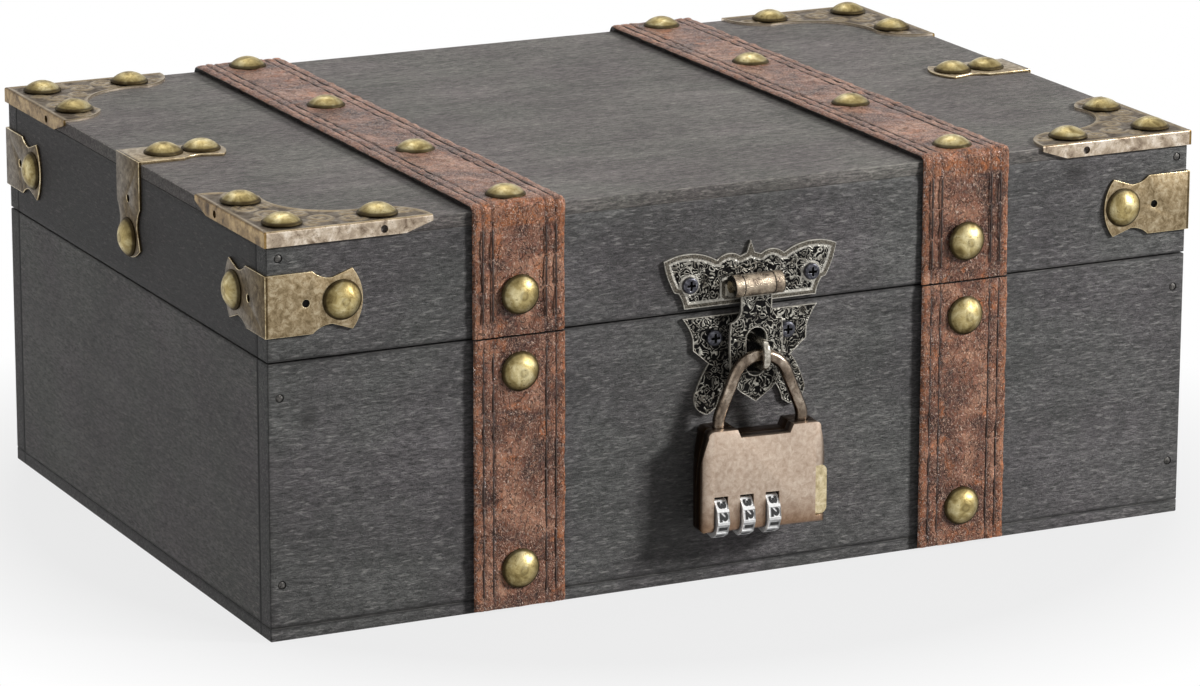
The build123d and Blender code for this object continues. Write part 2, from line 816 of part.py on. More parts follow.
arch = [
    Line((-leg_x, 0, heel_low), (-leg_x, 0, shoulder)),
    ThreePointArc((-leg_x, 0, shoulder), bend_point(-1), (-bend_x, 0, bend_z)),
    Line((-bend_x, 0, bend_z), (-join_x, 0, join_z)),
    ThreePointArc((-join_x, 0, join_z), (0, 0, 0), (join_x, 0, join_z)),
    Line((join_x, 0, join_z), (bend_x, 0, bend_z)),
    ThreePointArc((bend_x, 0, bend_z), bend_point(1), (leg_x, 0, shoulder)),
    Line((leg_x, 0, shoulder), (leg_x, 0, case_top - toe_depth)),
]
heel_end = Pos(-leg_x, 0, heel_low)
shackle = sweep(heel_end * Circle(bar_radius), path=Wire(arch))
nodes["padlock_shackle"] = padlock_place * shackle

# Padlock case: a rounded casting in two halves round the shackle legs, spindle and latch
half_thick = case_thickness / 2
upright = Plane(origin=(0, 0, case_low), x_dir=(1, 0, 0), z_dir=(0, -1, 0))
case = upright * extrude(
    mirrored_face(case_start_share, case_shares, case_half_width, case_height), half_thick, both=True
)
case_middle = (case_low + case_top) / 2
plan_face = RectangleRounded(2 * case_half_width, case_thickness, case_plan_round)
plan = extrude(plan_face, case_height, both=True)
profile_face = RectangleRounded(case_thickness, case_height + case_bottom_round, case_bottom_round)
profile = Plane.YZ * extrude(profile_face, case_half_width, both=True)
case = case & (Pos(0, 0, case_middle) * plan)
case = case & (Pos(0, 0, case_middle + case_bottom_round / 2) * profile)
case = Pos(0, case_setback, 0) * case

dial_places = [dial_first + step * dial_pitch for step in range(dial_count)]
slot_half = dial_width / 2 + dial_slot_play
through = (-case_thickness, case_thickness)
leg_hole = bar_radius + leg_hole_play
pocket_inner = button_inner - button_travel - button_play
button_z = (case_low + button_low, case_low + button_low + button_tall)
latch_low = button_z[1] - latch_arm
latch_high = case_top - latch_top_wall
latch_x = leg_x - leg_hole - latch_gap
spindle_x = (spindle_end - case_half_width, dial_places[-1] + slot_half + spindle_end)
case -= [
    block((x - slot_half, x + slot_half), through, (case_low - overrun, dial_slot_top)) for x in dial_places
]
case -= Pos(-leg_x, 0, case_top) * peg(leg_hole, case_top - heel_hole_low, overrun)
case -= Pos(leg_x, 0, case_top) * peg(leg_hole, toe_depth + hole_play, overrun)
spindle_bore = Pos(sum(spindle_x) / 2, -dial_forward, dial_axis) * along_x * Cylinder(
    spindle_radius + fit, spindle_x[1] - spindle_x[0] + 2 * fit
)
case -= spindle_bore
pocket_z = (button_z[0] - button_play, button_z[1] + button_play)
pocket_y = (-button_thickness / 2 - button_play, button_thickness / 2 + button_play)
case -= block((button_window, case_half_width + overrun), through, pocket_z)
case -= block((pocket_inner, button_window + overrun), pocket_y, pocket_z)
latch_y = (-latch_sheet / 2 - button_play, latch_sheet / 2 + button_play)
case -= block(
    (latch_x - latch_arm - button_travel - button_play, latch_x + latch_gap),
    latch_y,
    (latch_low - button_play, latch_high + button_play),
)
case -= block(
    (latch_x - latch_arm, pocket_inner + overrun), latch_y, (latch_low - button_play, pocket_z[1])
)
case_pins = [
    Pos(across * case_half_width, 0, case_low + up * case_height) * Rot(90, 0, 0)
    for across, up in case_pin_shares
]
case_pin_hole = peg(case_pin_radius + fit, case_pin_depth + hole_play, case_pin_depth + hole_play)
case_pin_holes = placed(case_pins, case_pin_hole)
front_side = block((-box_length, box_length), (-box_depth, 0), (-box_length, box_length))
nodes["padlock_case_front"] = padlock_place * ((case & front_side) - case_pin_holes)
nodes["padlock_case_back"] = padlock_place * (case - front_side - case_pin_holes)
nodes["padlock_case_pins"] = padlock_place * Compound(
    placed(case_pins, peg(case_pin_radius, case_pin_depth, case_pin_depth))
)

# Padlock dials on their spindle, each a ten-sided ring
spindle = Pos(sum(spindle_x) / 2, -dial_forward, dial_axis) * along_x * Cylinder(
    spindle_radius, spindle_x[1] - spindle_x[0]
)
nodes["dial_spindle"] = padlock_place * spindle
ring_plane = Plane(origin=(0, -dial_forward, dial_axis), x_dir=(0, -1, 0), z_dir=(1, 0, 0))
ring = ring_plane * (
    extrude(RegularPolygon(dial_radius, dial_sides), dial_width / 2, both=True)
    - Cylinder(spindle_radius + fit, dial_width + overrun)
)
for number, x in enumerate(dial_places, start=1):
    nodes[f"dial_{number}"] = padlock_place * (Pos(x, 0, 0) * ring)

# Release button in the case's right end, the latch it carries, and the two springs
button = block((button_inner, button_outer), (-button_thickness / 2, button_thickness / 2), button_z)
button = fillet(button.edges().filter_by(Axis.Y).group_by(Axis.X)[-1], button_round)
spring_z = case_low + button_low + button_spring_height
button -= Pos(button_inner, 0, spring_z) * along_x * Cylinder(
    spring_radius + hole_play, 2 * button_bore_depth
)
nodes["release_button"] = padlock_place * button
latch_half = (-latch_sheet / 2, latch_sheet / 2)
latch = block((latch_x - latch_arm, button_inner), latch_half, (latch_low, button_z[1]))
latch += block((latch_x - latch_arm, latch_x), latch_half, (latch_low, latch_high))
nodes["latch_slide"] = padlock_place * latch


def spring(low, high):
    """A closed-up spring as a plain sleeve between two places along its own axis."""
    sleeve = Cylinder(spring_radius, high - low) - Cylinder(
        spring_radius - spring_wall, high - low + overrun
    )
    return Pos(0, 0, (low + high) / 2) * sleeve


nodes["button_spring"] = padlock_place * (
    Pos(0, 0, spring_z) * along_x * spring(pocket_inner + spring_seat, button_inner + spring_entry)
)
nodes["shackle_spring"] = padlock_place * (
    Pos(-leg_x, 0, 0) * spring(heel_hole_low + spring_seat, heel_low - spring_seat)
)

# One STEP file for each node
os.makedirs("parts", exist_ok=True)
for name, shape in nodes.items():
    export_step(shape, f"parts/{name}.step")
print(len(nodes), "nodes")
print("shackle bar at height", round(bar_height, 2), "and", round(bar_lift, 2), "off the wood")
print("hasp pin at height", round(pin_height, 2), "and", round(pin_lift, 2), "off the wood")
print("padlock case bottom at height", round(bar_height + case_low, 2))
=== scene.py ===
import math

import bmesh
import bpy
from mathutils import Euler, Matrix, Vector, kdtree, noise


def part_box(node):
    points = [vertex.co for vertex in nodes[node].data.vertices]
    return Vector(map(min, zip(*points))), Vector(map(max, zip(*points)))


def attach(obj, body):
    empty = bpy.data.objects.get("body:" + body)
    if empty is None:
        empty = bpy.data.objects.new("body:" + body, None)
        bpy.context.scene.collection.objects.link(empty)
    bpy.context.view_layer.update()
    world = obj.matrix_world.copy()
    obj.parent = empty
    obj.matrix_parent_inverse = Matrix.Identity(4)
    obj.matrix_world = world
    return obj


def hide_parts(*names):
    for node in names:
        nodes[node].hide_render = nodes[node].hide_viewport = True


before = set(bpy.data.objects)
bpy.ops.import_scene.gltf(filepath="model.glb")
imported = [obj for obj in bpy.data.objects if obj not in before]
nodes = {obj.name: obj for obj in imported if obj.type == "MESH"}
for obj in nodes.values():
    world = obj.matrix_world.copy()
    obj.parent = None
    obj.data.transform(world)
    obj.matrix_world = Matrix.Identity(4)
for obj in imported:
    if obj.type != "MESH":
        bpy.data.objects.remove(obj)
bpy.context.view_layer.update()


# Wooden boards
# Thin sawn boards, glued and bradded into an open box and a shallow lid, rubbed down and stained
# charcoal; the sharp corners are broken by hand and the stain wears thin there.
half_length = 0.145
half_depth = 0.1
box_height = 0.115
corner_round = 0.00035
worn_strip = 0.0014
lid_edge_height = 0.1142
knots = (((0.107, -half_depth, 0.107), 0.0062), ((-0.1335, -half_depth, 0.0622), 0.0052))
level_joints = ((0.079, 0.0011), (0.0038, 0.0009))
upright_joint = 0.093
upright_joint_top = 0.1110
upright_joint_line = (0.0005, 0.0010)
end_wall_middle = 0.1415
long_wall_middle = 0.0965
brad_heights = (0.016, 0.069)
lid_brad_height = 0.108
under_brad_reach = 0.098
under_brad_step = 0.06
brad_pocket_radius = 0.00125
brad_pocket_depth = 0.00035
bracket_height = 0.0949
long_nail_hole = 0.1338
short_nail_hole = 0.0888
side_nail_hole = 0.1035
same_point = 0.000005
# how far a face's direction has to lie along an axis to count as facing that way
squarely = 0.99
roughly = 0.9


def deselect():
    bpy.ops.object.select_all(action="DESELECT")


def only(piece):
    """Leaves this piece alone selected and active."""
    deselect()
    piece.select_set(True)
    bpy.context.view_layer.objects.active = piece


def choose(piece, kind, test):
    """Opens the piece for editing with only the points, edges or faces that pass the test selected."""
    only(piece)
    bpy.ops.object.mode_set(mode="EDIT")
    bpy.ops.mesh.select_mode(type=kind)
    bpy.ops.mesh.select_all(action="DESELECT")
    shape = bmesh.from_edit_mesh(piece.data)
    for item in {"VERT": shape.verts, "EDGE": shape.edges, "FACE": shape.faces}[kind]:
        if test(item):
            item.select_set(True)
    shape.select_flush_mode()
    bmesh.update_edit_mesh(piece.data)


def close():
    bpy.ops.object.mode_set(mode="OBJECT")


def settle(piece, name):
    """Names a piece and puts its place, turn and size into its mesh."""
    only(piece)
    bpy.ops.object.transform_apply(location=True, rotation=True, scale=True)
    piece.name = name
    return piece


def join(pieces, name):
    """Makes one piece of several."""
    deselect()
    for piece in pieces:
        piece.select_set(True)
    bpy.context.view_layer.objects.active = pieces[0]
    if len(pieces) > 1:
        bpy.ops.object.join()
    pieces[0].name = name
    return pieces[0]


def smooth(piece, angle):
    only(piece)
    bpy.ops.object.shade_smooth_by_angle(angle=math.radians(angle))


def mark(piece, name, values):
    """Keeps one number for each point of the mesh, for the finish to read."""
    layer = piece.data.attributes.new(name, "FLOAT", "POINT")
    layer.data.foreach_set("value", values)


def coat(piece, *finishes):
    piece.data.materials.clear()
    for finish in finishes:
        piece.data.materials.append(finish)


def carry(piece, body, slot, *stood_for):
    """Fixes a piece to the moving body it is on, and says what it stands for."""
    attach(piece, body)
    if stood_for:
        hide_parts(*stood_for)


def shade(red, green, blue):
    """A colour read off as ordinary screen values from 0 to 255."""
    return tuple(
        value / 255 / 12.92 if value <= 10 else ((value / 255 + 0.055) / 1.055) ** 2.4
        for value in (red, green, blue)
    ) + (1.0,)


def fill(made, sockets):
    """Fills a node's sockets with values or with other nodes' outputs."""
    for name, value in sockets.items():
        if isinstance(value, bpy.types.NodeSocket):
            made.id_data.links.new(value, made.inputs[name])
        else:
            made.inputs[name].default_value = value


def add(beside, kind, sockets=None, **options):
    """Adds a node to the finish that another node or socket is in."""
    made = beside.id_data.nodes.new("ShaderNode" + kind)
    for name, value in options.items():
        setattr(made, name, value)
    fill(made, sockets or {})
    return made


def graded(amount, *stops):
    """Turns a number into a colour along a few stops."""
    band = add(amount, "ValToRGB", {"Fac": amount})
    marks = band.color_ramp.elements
    while len(marks) < len(stops):
        marks.new(1.0)
    for mark_at, (place, colour) in zip(marks, stops):
        mark_at.position = place
        mark_at.color = colour if isinstance(colour, tuple) else (colour, colour, colour, 1.0)
    return band.outputs["Color"]


def speckle(place, pitch, detail=4.0, harshness=0.6, swirl=0.0):
    """Cloudy noise; its pitch in metres is one number, or one for each axis."""
    steps = pitch if isinstance(pitch, tuple) else (pitch, pitch, pitch)
    scaled = add(place, "Mapping", {"Vector": place, "Scale": tuple(1 / step for step in steps)})
    cloud = add(place, "TexNoise", {
        "Vector": scaled.outputs[0],
        "Scale": 1.0,
        "Detail": detail,
        "Roughness": harshness,
        "Distortion": swirl,
    })
    return cloud.outputs["Fac"]


def first_socket(*values):
    return next(value for value in values if isinstance(value, bpy.types.NodeSocket))


def blended(amount, under, over, way="MIX"):
    sockets = {"Fac": amount, "Color1": under, "Color2": over}
    return add(first_socket(amount, under, over), "MixRGB", sockets, blend_type=way).outputs["Color"]


def worked(operation, first, second=0.0):
    return add(first_socket(first, second), "Math", {0: first, 1: second}, operation=operation).outputs[0]


def times(first, second):
    return worked("MULTIPLY", first, second)


def gap(first, second):
    """How far two numbers are apart."""
    return worked("ABSOLUTE", worked("SUBTRACT", first, second))


def fading(value, near, far, at_near, at_far):
    """A number that passes from one value to another while the given one passes from near to far."""
    spread = add(value, "MapRange", {
        "Value": value, "From Min": near, "From Max": far, "To Min": at_near, "To Max": at_far,
    })
    return spread.outputs[0]


def marked(beside, name):
    """What mark() kept on the mesh under this name."""
    return add(beside, "Attribute", attribute_name=name).outputs["Fac"]


def new_finish(name):
    """An empty finish: its nodes, its shader and the place on the piece."""
    finish = bpy.data.materials.new(name)
    finish.use_nodes = True
    tree = finish.node_tree
    tree.nodes.clear()
    shader = add(tree, "BsdfPrincipled")
    add(tree, "OutputMaterial", {"Surface": shader.outputs[0]})
    place = add(tree, "TexCoord").outputs["Object"]
    return finish, shader, place


def set_bump(shader, height, depth, strength):
    raised = add(shader, "Bump", {"Height": height, "Distance": depth, "Strength": strength})
    fill(shader, {"Normal": raised.outputs["Normal"]})


def stained_wood(name, along, dark, light, worn):
    """Charcoal stain over fine, slightly curly grain along one axis, with dark knots and joint lines, and
    painted shade in the brad pockets.
    """
    finish, shader, place = new_finish(name)
    dark, light, worn = shade(*dark), shade(*light), shade(*worn)

    def run(fine, length):
        return (length, fine, fine) if along == "X" else (fine, length, fine)

    fibres = speckle(place, run(0.0007, 0.0030), 6.0, 0.85, 0.6)
    figure = speckle(place, run(0.0011, 0.0026), 4.0, 0.7, 1.8)
    streaks = speckle(place, run(0.006, 0.09), 3.0, 0.6, 0.6)
    clouds = speckle(place, 0.045, 3.0, 0.55, 0.4)
    tint = speckle(place, 0.03, 2.0, 0.5)
    pores = speckle(place, run(0.0006, 0.0032), 2.0, 0.5)
    colour = graded(fibres, (0.36, dark), (0.66, light))
    for share, pattern, low, high in (
        (0.75, figure, (0.30, 0.20), (0.70, 0.80)),
        (0.4, streaks, (0.32, 0.22), (0.68, 0.78)),
        (0.5, clouds, (0.32, 0.2), (0.68, 0.8)),
        (0.5, tint, (0.36, (0.50, 0.53, 0.50, 1.0)), (0.64, (0.54, 0.49, 0.53, 1.0))),
    ):
        colour = blended(share, colour, graded(pattern, low, high), "SOFT_LIGHT")
    flecks = graded(pores, (0.34, 1.0), (0.42, 0.0))
    colour = blended(times(flecks, 0.55), colour, shade(38, 37, 36))
    glints = graded(pores, (0.60, 0.0), (0.70, 1.0))
    colour = blended(times(glints, 0.38), colour, worn)
    for middle, reach in knots:
        apart = add(place, "VectorMath", {0: place, 1: middle}, operation="DISTANCE").outputs["Value"]
        apart = worked("ADD", apart, times(figure, 0.002))
        knot = fading(apart, reach * 0.35, reach, 0.75, 0.0)
        colour = blended(knot, colour, shade(30, 28, 27))
    axes = add(place, "SeparateXYZ", {0: place}).outputs
    for level, reach in level_joints:
        seam = fading(gap(axes["Z"], level), reach * 0.35, reach, 0.85, 0.0)
        colour = blended(seam, colour, shade(14, 13, 13))
    from_joint = gap(worked("ABSOLUTE", axes["Y"]), upright_joint)
    seam = fading(from_joint, *upright_joint_line, 0.95, 0.0)
    below_top = worked("LESS_THAN", axes["Z"], upright_joint_top)
    colour = blended(times(seam, below_top), colour, shade(14, 13, 13))
    # deep: painted shade in the brad pockets and nail holes, and dark joint lines along the upright edges
    colour = blended(marked(place, "deep"), colour, shade(8, 7, 7))
    chipped = graded(speckle(place, run(0.003, 0.012), 5.0, 0.7), (0.44, 0.0), (0.60, 1.0))
    colour = blended(times(marked(place, "worn"), chipped), colour, worn)
    matt = graded(fibres, (0.3, 0.74), (0.7, 0.56))
    fill(shader, {"Base Color": colour, "Roughness": matt, "Specular IOR Level": 0.32})
    set_bump(shader, worked("ADD", fibres, figure), 0.00035, 0.8)
    return finish


# The boards share one charcoal stain, in tones set by which way they face: the body's left end and the lid's
# top are painted lighter, as painted light, and the lid's left end darker, as painted shade.
front_wood = stained_wood("stained_wood_front", "X", (37, 37, 37), (106, 104, 103), (164, 161, 157))
side_wood = stained_wood("stained_wood_side_painted_light", "Y", (48, 48, 48), (144, 141, 138), (184, 178, 170))
right_wood = stained_wood("stained_wood_right", "Y", (34, 34, 34), (98, 96, 94), (154, 150, 144))
lid_side_wood_painted_shade = stained_wood("stained_wood_lid_side_painted_shade", "Y", (17, 16, 16), (48, 46, 45), (104, 99, 94))
top_wood_painted_light = stained_wood("stained_wood_top_painted_light", "X", (55, 53, 51), (125, 120, 115), (170, 164, 156))


def pocket_cutter(places):
    """The round bits of wood that the brads' heads sink into."""
    made = []
    for place in places:
        deselect()
        bpy.ops.mesh.primitive_cylinder_add(
            vertices=20, radius=brad_pocket_radius, depth=brad_pocket_depth * 2,
            location=place.translation, rotation=place.to_euler(),
        )
        made.append(bpy.context.object)
    return join(made, "pocket_cutter")


def facing(side, across, up, lift=0.0):
    """A place on one side of the box, its third axis pointing out; across and up run over that side."""
    columns = {
        "front": ((1, 0, 0), (0, 0, 1), (0, -1, 0), (across, -half_depth - lift, up)),
        "back": ((-1, 0, 0), (0, 0, 1), (0, 1, 0), (across, half_depth + lift, up)),
        "left": ((0, -1, 0), (0, 0, 1), (-1, 0, 0), (-half_length - lift, across, up)),
        "right": ((0, 1, 0), (0, 0, 1), (1, 0, 0), (half_length + lift, across, up)),
        "top": ((1, 0, 0), (0, 1, 0), (0, 0, 1), (across, up, box_height + lift)),
        "under": ((1, 0, 0), (0, -1, 0), (0, 0, -1), (across, up, -lift)),
    }[side]
    place = Matrix.Identity(4)
    for column, values in enumerate(columns):
        for row in range(3):
            place[row][column] = values[row]
    return place


long_sides = ("front", "back")
short_sides = ("left", "right")
ends = (-1, 1)
body_brad_places = [
    facing(side, end * end_wall_middle, height)
    for side in long_sides for end in ends for height in brad_heights
]
lid_brad_places = [
    facing(side, end * end_wall_middle, lid_brad_height) for side in long_sides for end in ends
]
under_brad_places = [
    facing("under", step * under_brad_reach, end * long_wall_middle) for step in (-1, 0, 1) for end in ends
]
under_brad_places += [
    facing("under", end * end_wall_middle, step * under_brad_step) for end in ends for step in ends
]
# spare nail holes seen through the holes of the brass corners
nail_hole_places = [
    facing(side, end * reach, bracket_height)
    for sides, reach in ((long_sides, long_nail_hole), (short_sides, short_nail_hole))
    for side in sides for end in ends
]
nail_hole_places += [facing(side, 0, side_nail_hole) for side in short_sides]


def board(node, body, finish, pockets=()):
    """One board at its node's place, its corners broken, with pockets for the brads."""
    low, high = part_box(node)
    deselect()
    bpy.ops.mesh.primitive_cube_add(size=1, location=(low + high) / 2, scale=high - low)
    piece = settle(bpy.context.object, node + "_wood")
    bpy.ops.object.mode_set(mode="EDIT")
    bpy.ops.mesh.select_all(action="SELECT")
    bpy.ops.mesh.bevel(offset=corner_round, segments=2, affect="EDGES")
    close()
    choose(piece, "FACE", lambda face: max(abs(value) for value in face.normal) > squarely)
    bpy.ops.mesh.inset(thickness=worn_strip, use_individual=True)
    close()
    if pockets:
        cutter = pocket_cutter(pockets)
        cut = piece.modifiers.new("pockets", "BOOLEAN")
        cut.object = cutter
        cut.operation = "DIFFERENCE"
        cut.solver = "EXACT"
        only(piece)
        bpy.ops.object.modifier_apply(modifier="pockets")
        bpy.data.objects.remove(cutter)
    near = corner_round * 0.6
    worn, deep = [], []
    for point in piece.data.vertices:
        inside = [min(point.co[axis] - low[axis], high[axis] - point.co[axis]) for axis in range(3)]
        on_edge = sum(depth < near for depth in inside) > 1
        upright = inside[0] < near and inside[1] < near and point.co.z < lid_edge_height
        worn.append((1.0 if point.co.z > lid_edge_height else 0.3) if on_edge and not upright else 0.0)
        # deep: painted shade in the brad pockets and nail holes, and dark joint lines on the upright edges
        deep.append(0.9 if min(inside) > brad_pocket_depth * 0.6 else 0.8 if upright else 0.0)
    mark(piece, "worn", worn)
    mark(piece, "deep", deep)
    smooth(piece, 40)
    coat(piece, finish)
    carry(piece, body, "wood", node)


def on_board(places, side):
    """The brads or nail holes that go into one side of the box."""
    outward = facing(side, 0, 0).col[2].xyz
    return [place for place in places if place.col[2].xyz.dot(outward) > roughly]


lid_places = lid_brad_places + nail_hole_places
board("bottom_board", "base", front_wood, under_brad_places)
board("body_front_panel", "base", front_wood, on_board(body_brad_places, "front"))
board("body_back_panel", "base", front_wood, on_board(body_brad_places, "back"))
board("body_left_panel", "base", side_wood)
board("body_right_panel", "base", right_wood)
board("lid_front_panel", "lid", front_wood, on_board(lid_places, "front"))
board("lid_back_panel", "lid", front_wood, on_board(lid_places, "back"))
board("lid_left_panel", "lid", lid_side_wood_painted_shade, on_board(lid_places, "left"))
board("lid_right_panel", "lid", right_wood, on_board(lid_places, "right"))
board("lid_top_board", "lid", top_wood_painted_light)


# Brads
# Thin steel nails through the front, back and bottom boards into the ends of their neighbours,
# driven just under the surface and stained over with the wood.
brad_profile = [(0.00095, -0.0003), (0.00095, -0.00018), (0.0008, -0.00009), (0.0004, -0.00005)]


def stained_steel():
    finish, shader, place = new_finish("stained_steel")
    grime = speckle(place, 0.0008, 4.0, 0.65)
    colour = graded(grime, (0.4, shade(46, 45, 44)), (0.62, shade(104, 101, 97)))
    matt = graded(grime, (0.4, 0.7), (0.62, 0.4))
    fill(shader, {"Base Color": colour, "Roughness": matt, "Metallic": 0.7})
    set_bump(shader, grime, 0.0001, 0.5)
    return finish


def twin_of(piece, name, place):
    """A copy of a piece with its own mesh, moved to a place."""
    twin = bpy.data.objects.new(name, piece.data.copy())
    twin.data.transform(place)
    bpy.context.collection.objects.link(twin)
    return twin


def spread_out(name, pattern, places, finish, body, slot, *stood_for):
    """One piece made of copies of a pattern, one at each place, coated and fixed to its body."""
    piece = join([twin_of(pattern, name, place) for place in places], name)
    coat(piece, finish)
    carry(piece, body, slot, *stood_for)


def turned(rings, around):
    """A round solid raised ring by ring from the outer rim to its middle, open at the back."""
    deselect()
    radius, height = rings[0]
    bpy.ops.mesh.primitive_circle_add(
        vertices=around, radius=radius, location=(0, 0, height), fill_type="NGON"
    )
    piece = settle(bpy.context.object, "turned_pattern")
    piece.data.flip_normals()
    bpy.ops.object.mode_set(mode="EDIT")
    bpy.ops.mesh.select_all(action="SELECT")
    bpy.ops.mesh.duplicate()
    bpy.ops.mesh.delete(type="ONLY_FACE")
    close()
    choose(piece, "EDGE", lambda edge: len(edge.link_faces) == 0)
    for ring_radius, ring_height in rings[1:]:
        bpy.ops.mesh.extrude_edges_move()
        bpy.ops.transform.resize(value=(ring_radius / radius, ring_radius / radius, 1))
        bpy.ops.transform.translate(value=(0, 0, ring_height - height))
        radius, height = ring_radius, ring_height
    bpy.ops.mesh.merge(type="CENTER")
    bpy.ops.mesh.select_all(action="SELECT")
    bpy.ops.mesh.remove_doubles(threshold=same_point)
    bpy.ops.mesh.normals_make_consistent(inside=False)
    close()
    return piece


brad_steel = stained_steel()
brad = turned(brad_profile, 14)
smooth(brad, 40)
spread_out(
    "body_brad_heads", brad, body_brad_places + under_brad_places, brad_steel, "base", "steel", "body_brads"
)
spread_out("lid_brad_heads", brad, lid_brad_places, brad_steel, "lid", "steel", "lid_brads")
bpy.data.objects.remove(brad)


# Leather straps
# Strips of thick reddish-brown leather with two sewn rows along each edge, glued and studded to the
# box; the lid's pair is folded over the edges of the top. They are cut at the seam.
strap_place = 0.0705
strap_width = 0.028
strap_thickness = 0.002
strap_fold = 0.0026
strap_row_pitch = 0.0007
strap_columns = 56
fold_steps = 6
stitch_rows = (0.0029, 0.0059)
stitch_pitch = 0.0089
stitch_length = 0.0078
stitch_sink = 0.00018
thread_radius = 0.00024
groove_reach = 0.0005
groove_depth = 0.0004
edge_round_reach = 0.0009
edge_tip_reach = 0.0003
handled_edge_reach = 0.0028
handled_fold = (0.0955, 0.1105)
edge_rounding = 0.0005
crinkle_depth = 0.0006
crease_depth = 0.00022
stitch_taper = 0.00015
stitch_tip = 0.0004
stitch_dip = 0.0003
top_stitch_reach = 0.099
fold_margin = 0.003


def crinkled_leather(name, shaded_cut_edge=False):
    """Waxed leather with worn, redder places and darker pressed grooves; painted shade in the creases and the
    grooves, painted highlights on the fine crinkles and pale flecks; the cut edge is painted dark as shade.
    """
    finish, shader, place = new_finish(name)
    warp = add(place, "TexNoise", {"Vector": place, "Scale": 260.0, "Detail": 3.0, "Roughness": 0.6})
    shifted = add(place, "VectorMath", {0: warp.outputs["Color"], "Scale": 0.0022}, operation="SCALE")
    moved = add(place, "VectorMath", {0: place, 1: shifted.outputs[0]}, operation="ADD").outputs[0]
    folds = speckle(moved, (0.0024, 0.0040, 0.0040), 2.5, 0.6, 0.8)
    wrinkles = speckle(moved, (0.0010, 0.0013, 0.0013), 2.0, 0.6, 0.5)
    wrinkle_line = gap(wrinkles, 0.5)
    creases = graded(gap(folds, 0.5), (0.0, 0.0), (0.028, 1.0))
    fine_creases = graded(wrinkle_line, (0.0, 1.0), (0.06, 0.0))
    clouds = speckle(place, 0.014, 4.0, 0.6, 0.6)
    mottle = speckle(place, 0.0030, 5.0, 0.7, 0.8)
    rubs = speckle(place, 0.008, 5.0, 0.7, 0.4)
    if shaded_cut_edge:
        # the cut edge is painted near-black: painted shade on the strap's unlit side
        colour = graded(mottle, (0.40, shade(10, 7, 6)), (0.72, shade(48, 33, 25)))
    else:
        colour = graded(
            clouds, (0.38, shade(72, 38, 25)), (0.50, shade(122, 76, 55)), (0.62, shade(170, 122, 96))
        )
        colour = blended(0.7, colour, graded(mottle, (0.34, 0.16), (0.66, 0.84)), "SOFT_LIGHT")
        scuffed = graded(rubs, (0.56, 0.0), (0.66, 0.7))
        patchy = graded(mottle, (0.40, 0.1), (0.58, 0.8))
        flecks = speckle(place, (0.0006, 0.0010, 0.0010), 3.0, 0.75)
        # painted shade in the creases, painted highlights along the fine crinkles, painted sheen in the pale
        # flecks, and the sewn grooves darker: pressed leather with painted shade in the groove; scuffs and
        # handled places are wear
        for amount, tone in (
            (scuffed, (180, 104, 52)),
            (times(marked(place, "handled"), patchy), (170, 98, 46)),
            (times(worked("SUBTRACT", 1.0, creases), 0.7), (46, 24, 16)),
            (graded(wrinkle_line, (0.0, 0.75), (0.03, 0.0)), (222, 178, 150)),
            (graded(flecks, (0.59, 0.0), (0.69, 0.85)), (236, 214, 196)),
            (times(marked(place, "sewn"), 0.7), (48, 27, 19)),
        ):
            colour = blended(amount, colour, shade(*tone))
    matt = graded(mottle, (0.3, 0.46), (0.7, 0.26))
    fill(shader, {"Base Color": colour, "Roughness": matt, "Specular IOR Level": 0.45})
    height = worked("ADD", creases, times(fine_creases, 0.5))
    height = worked("ADD", height, times(mottle, 0.7))
    set_bump(shader, height, 0.0005, 1.0)
    return finish


leather = crinkled_leather("crinkled_leather")
leather_cut = crinkled_leather("crinkled_leather_cut_painted_shade", True)


def waxed_thread():
    finish, shader, place = new_finish("waxed_thread")
    strand = speckle(place, 0.0003, 3.0, 0.6)
    colour = graded(strand, (0.35, shade(24, 15, 11)), (0.7, shade(70, 46, 34)))
    fill(shader, {"Base Color": colour, "Roughness": 0.6})
    set_bump(shader, strand, 0.0001, 0.7)
    return finish


thread = waxed_thread()
crinkle_pattern = bpy.data.textures.new("strap_crinkle", "CLOUDS")
crinkle_pattern.noise_scale = 0.0035
crinkle_pattern.noise_depth = 4
crease_pattern = bpy.data.textures.new("strap_creases", "MUSGRAVE")
crease_pattern.musgrave_type = "RIDGED_MULTIFRACTAL"
crease_pattern.noise_scale = 0.009


def strip(name, middle, run):
    """A flat strip of leather, with each point's distance from the middle line and along the strip."""
    deselect()
    bpy.ops.mesh.primitive_grid_add(
        x_subdivisions=strap_columns, y_subdivisions=round(run / strap_row_pitch), size=1, location=middle
    )
    piece = bpy.context.object
    piece.scale = (strap_width, run, 1)
    settle(piece, name)
    across = [abs(point.co.x - middle[0]) for point in piece.data.vertices]
    along = [point.co.y for point in piece.data.vertices]
    return piece, across, along


def fold_down(piece, along, place, end, height):
    """Folds everything beyond a line down by a right angle, in small steps round a soft bend."""
    step_angle = math.pi / 2 / fold_steps
    step_run = strap_fold * step_angle
    for step in range(fold_steps):
        line = place + end * step * step_run
        turn = step * step_angle
        depth = strap_fold * (1 - math.cos(turn))
        reach = place + end * strap_fold * math.sin(turn)
        choose(piece, "VERT", lambda point: (along[point.index] - line) * end > 0.00001)
        centre = Vector((0, reach, height - depth))
        bpy.ops.transform.rotate(value=end * step_angle, orient_axis="X", center_override=centre)
        close()


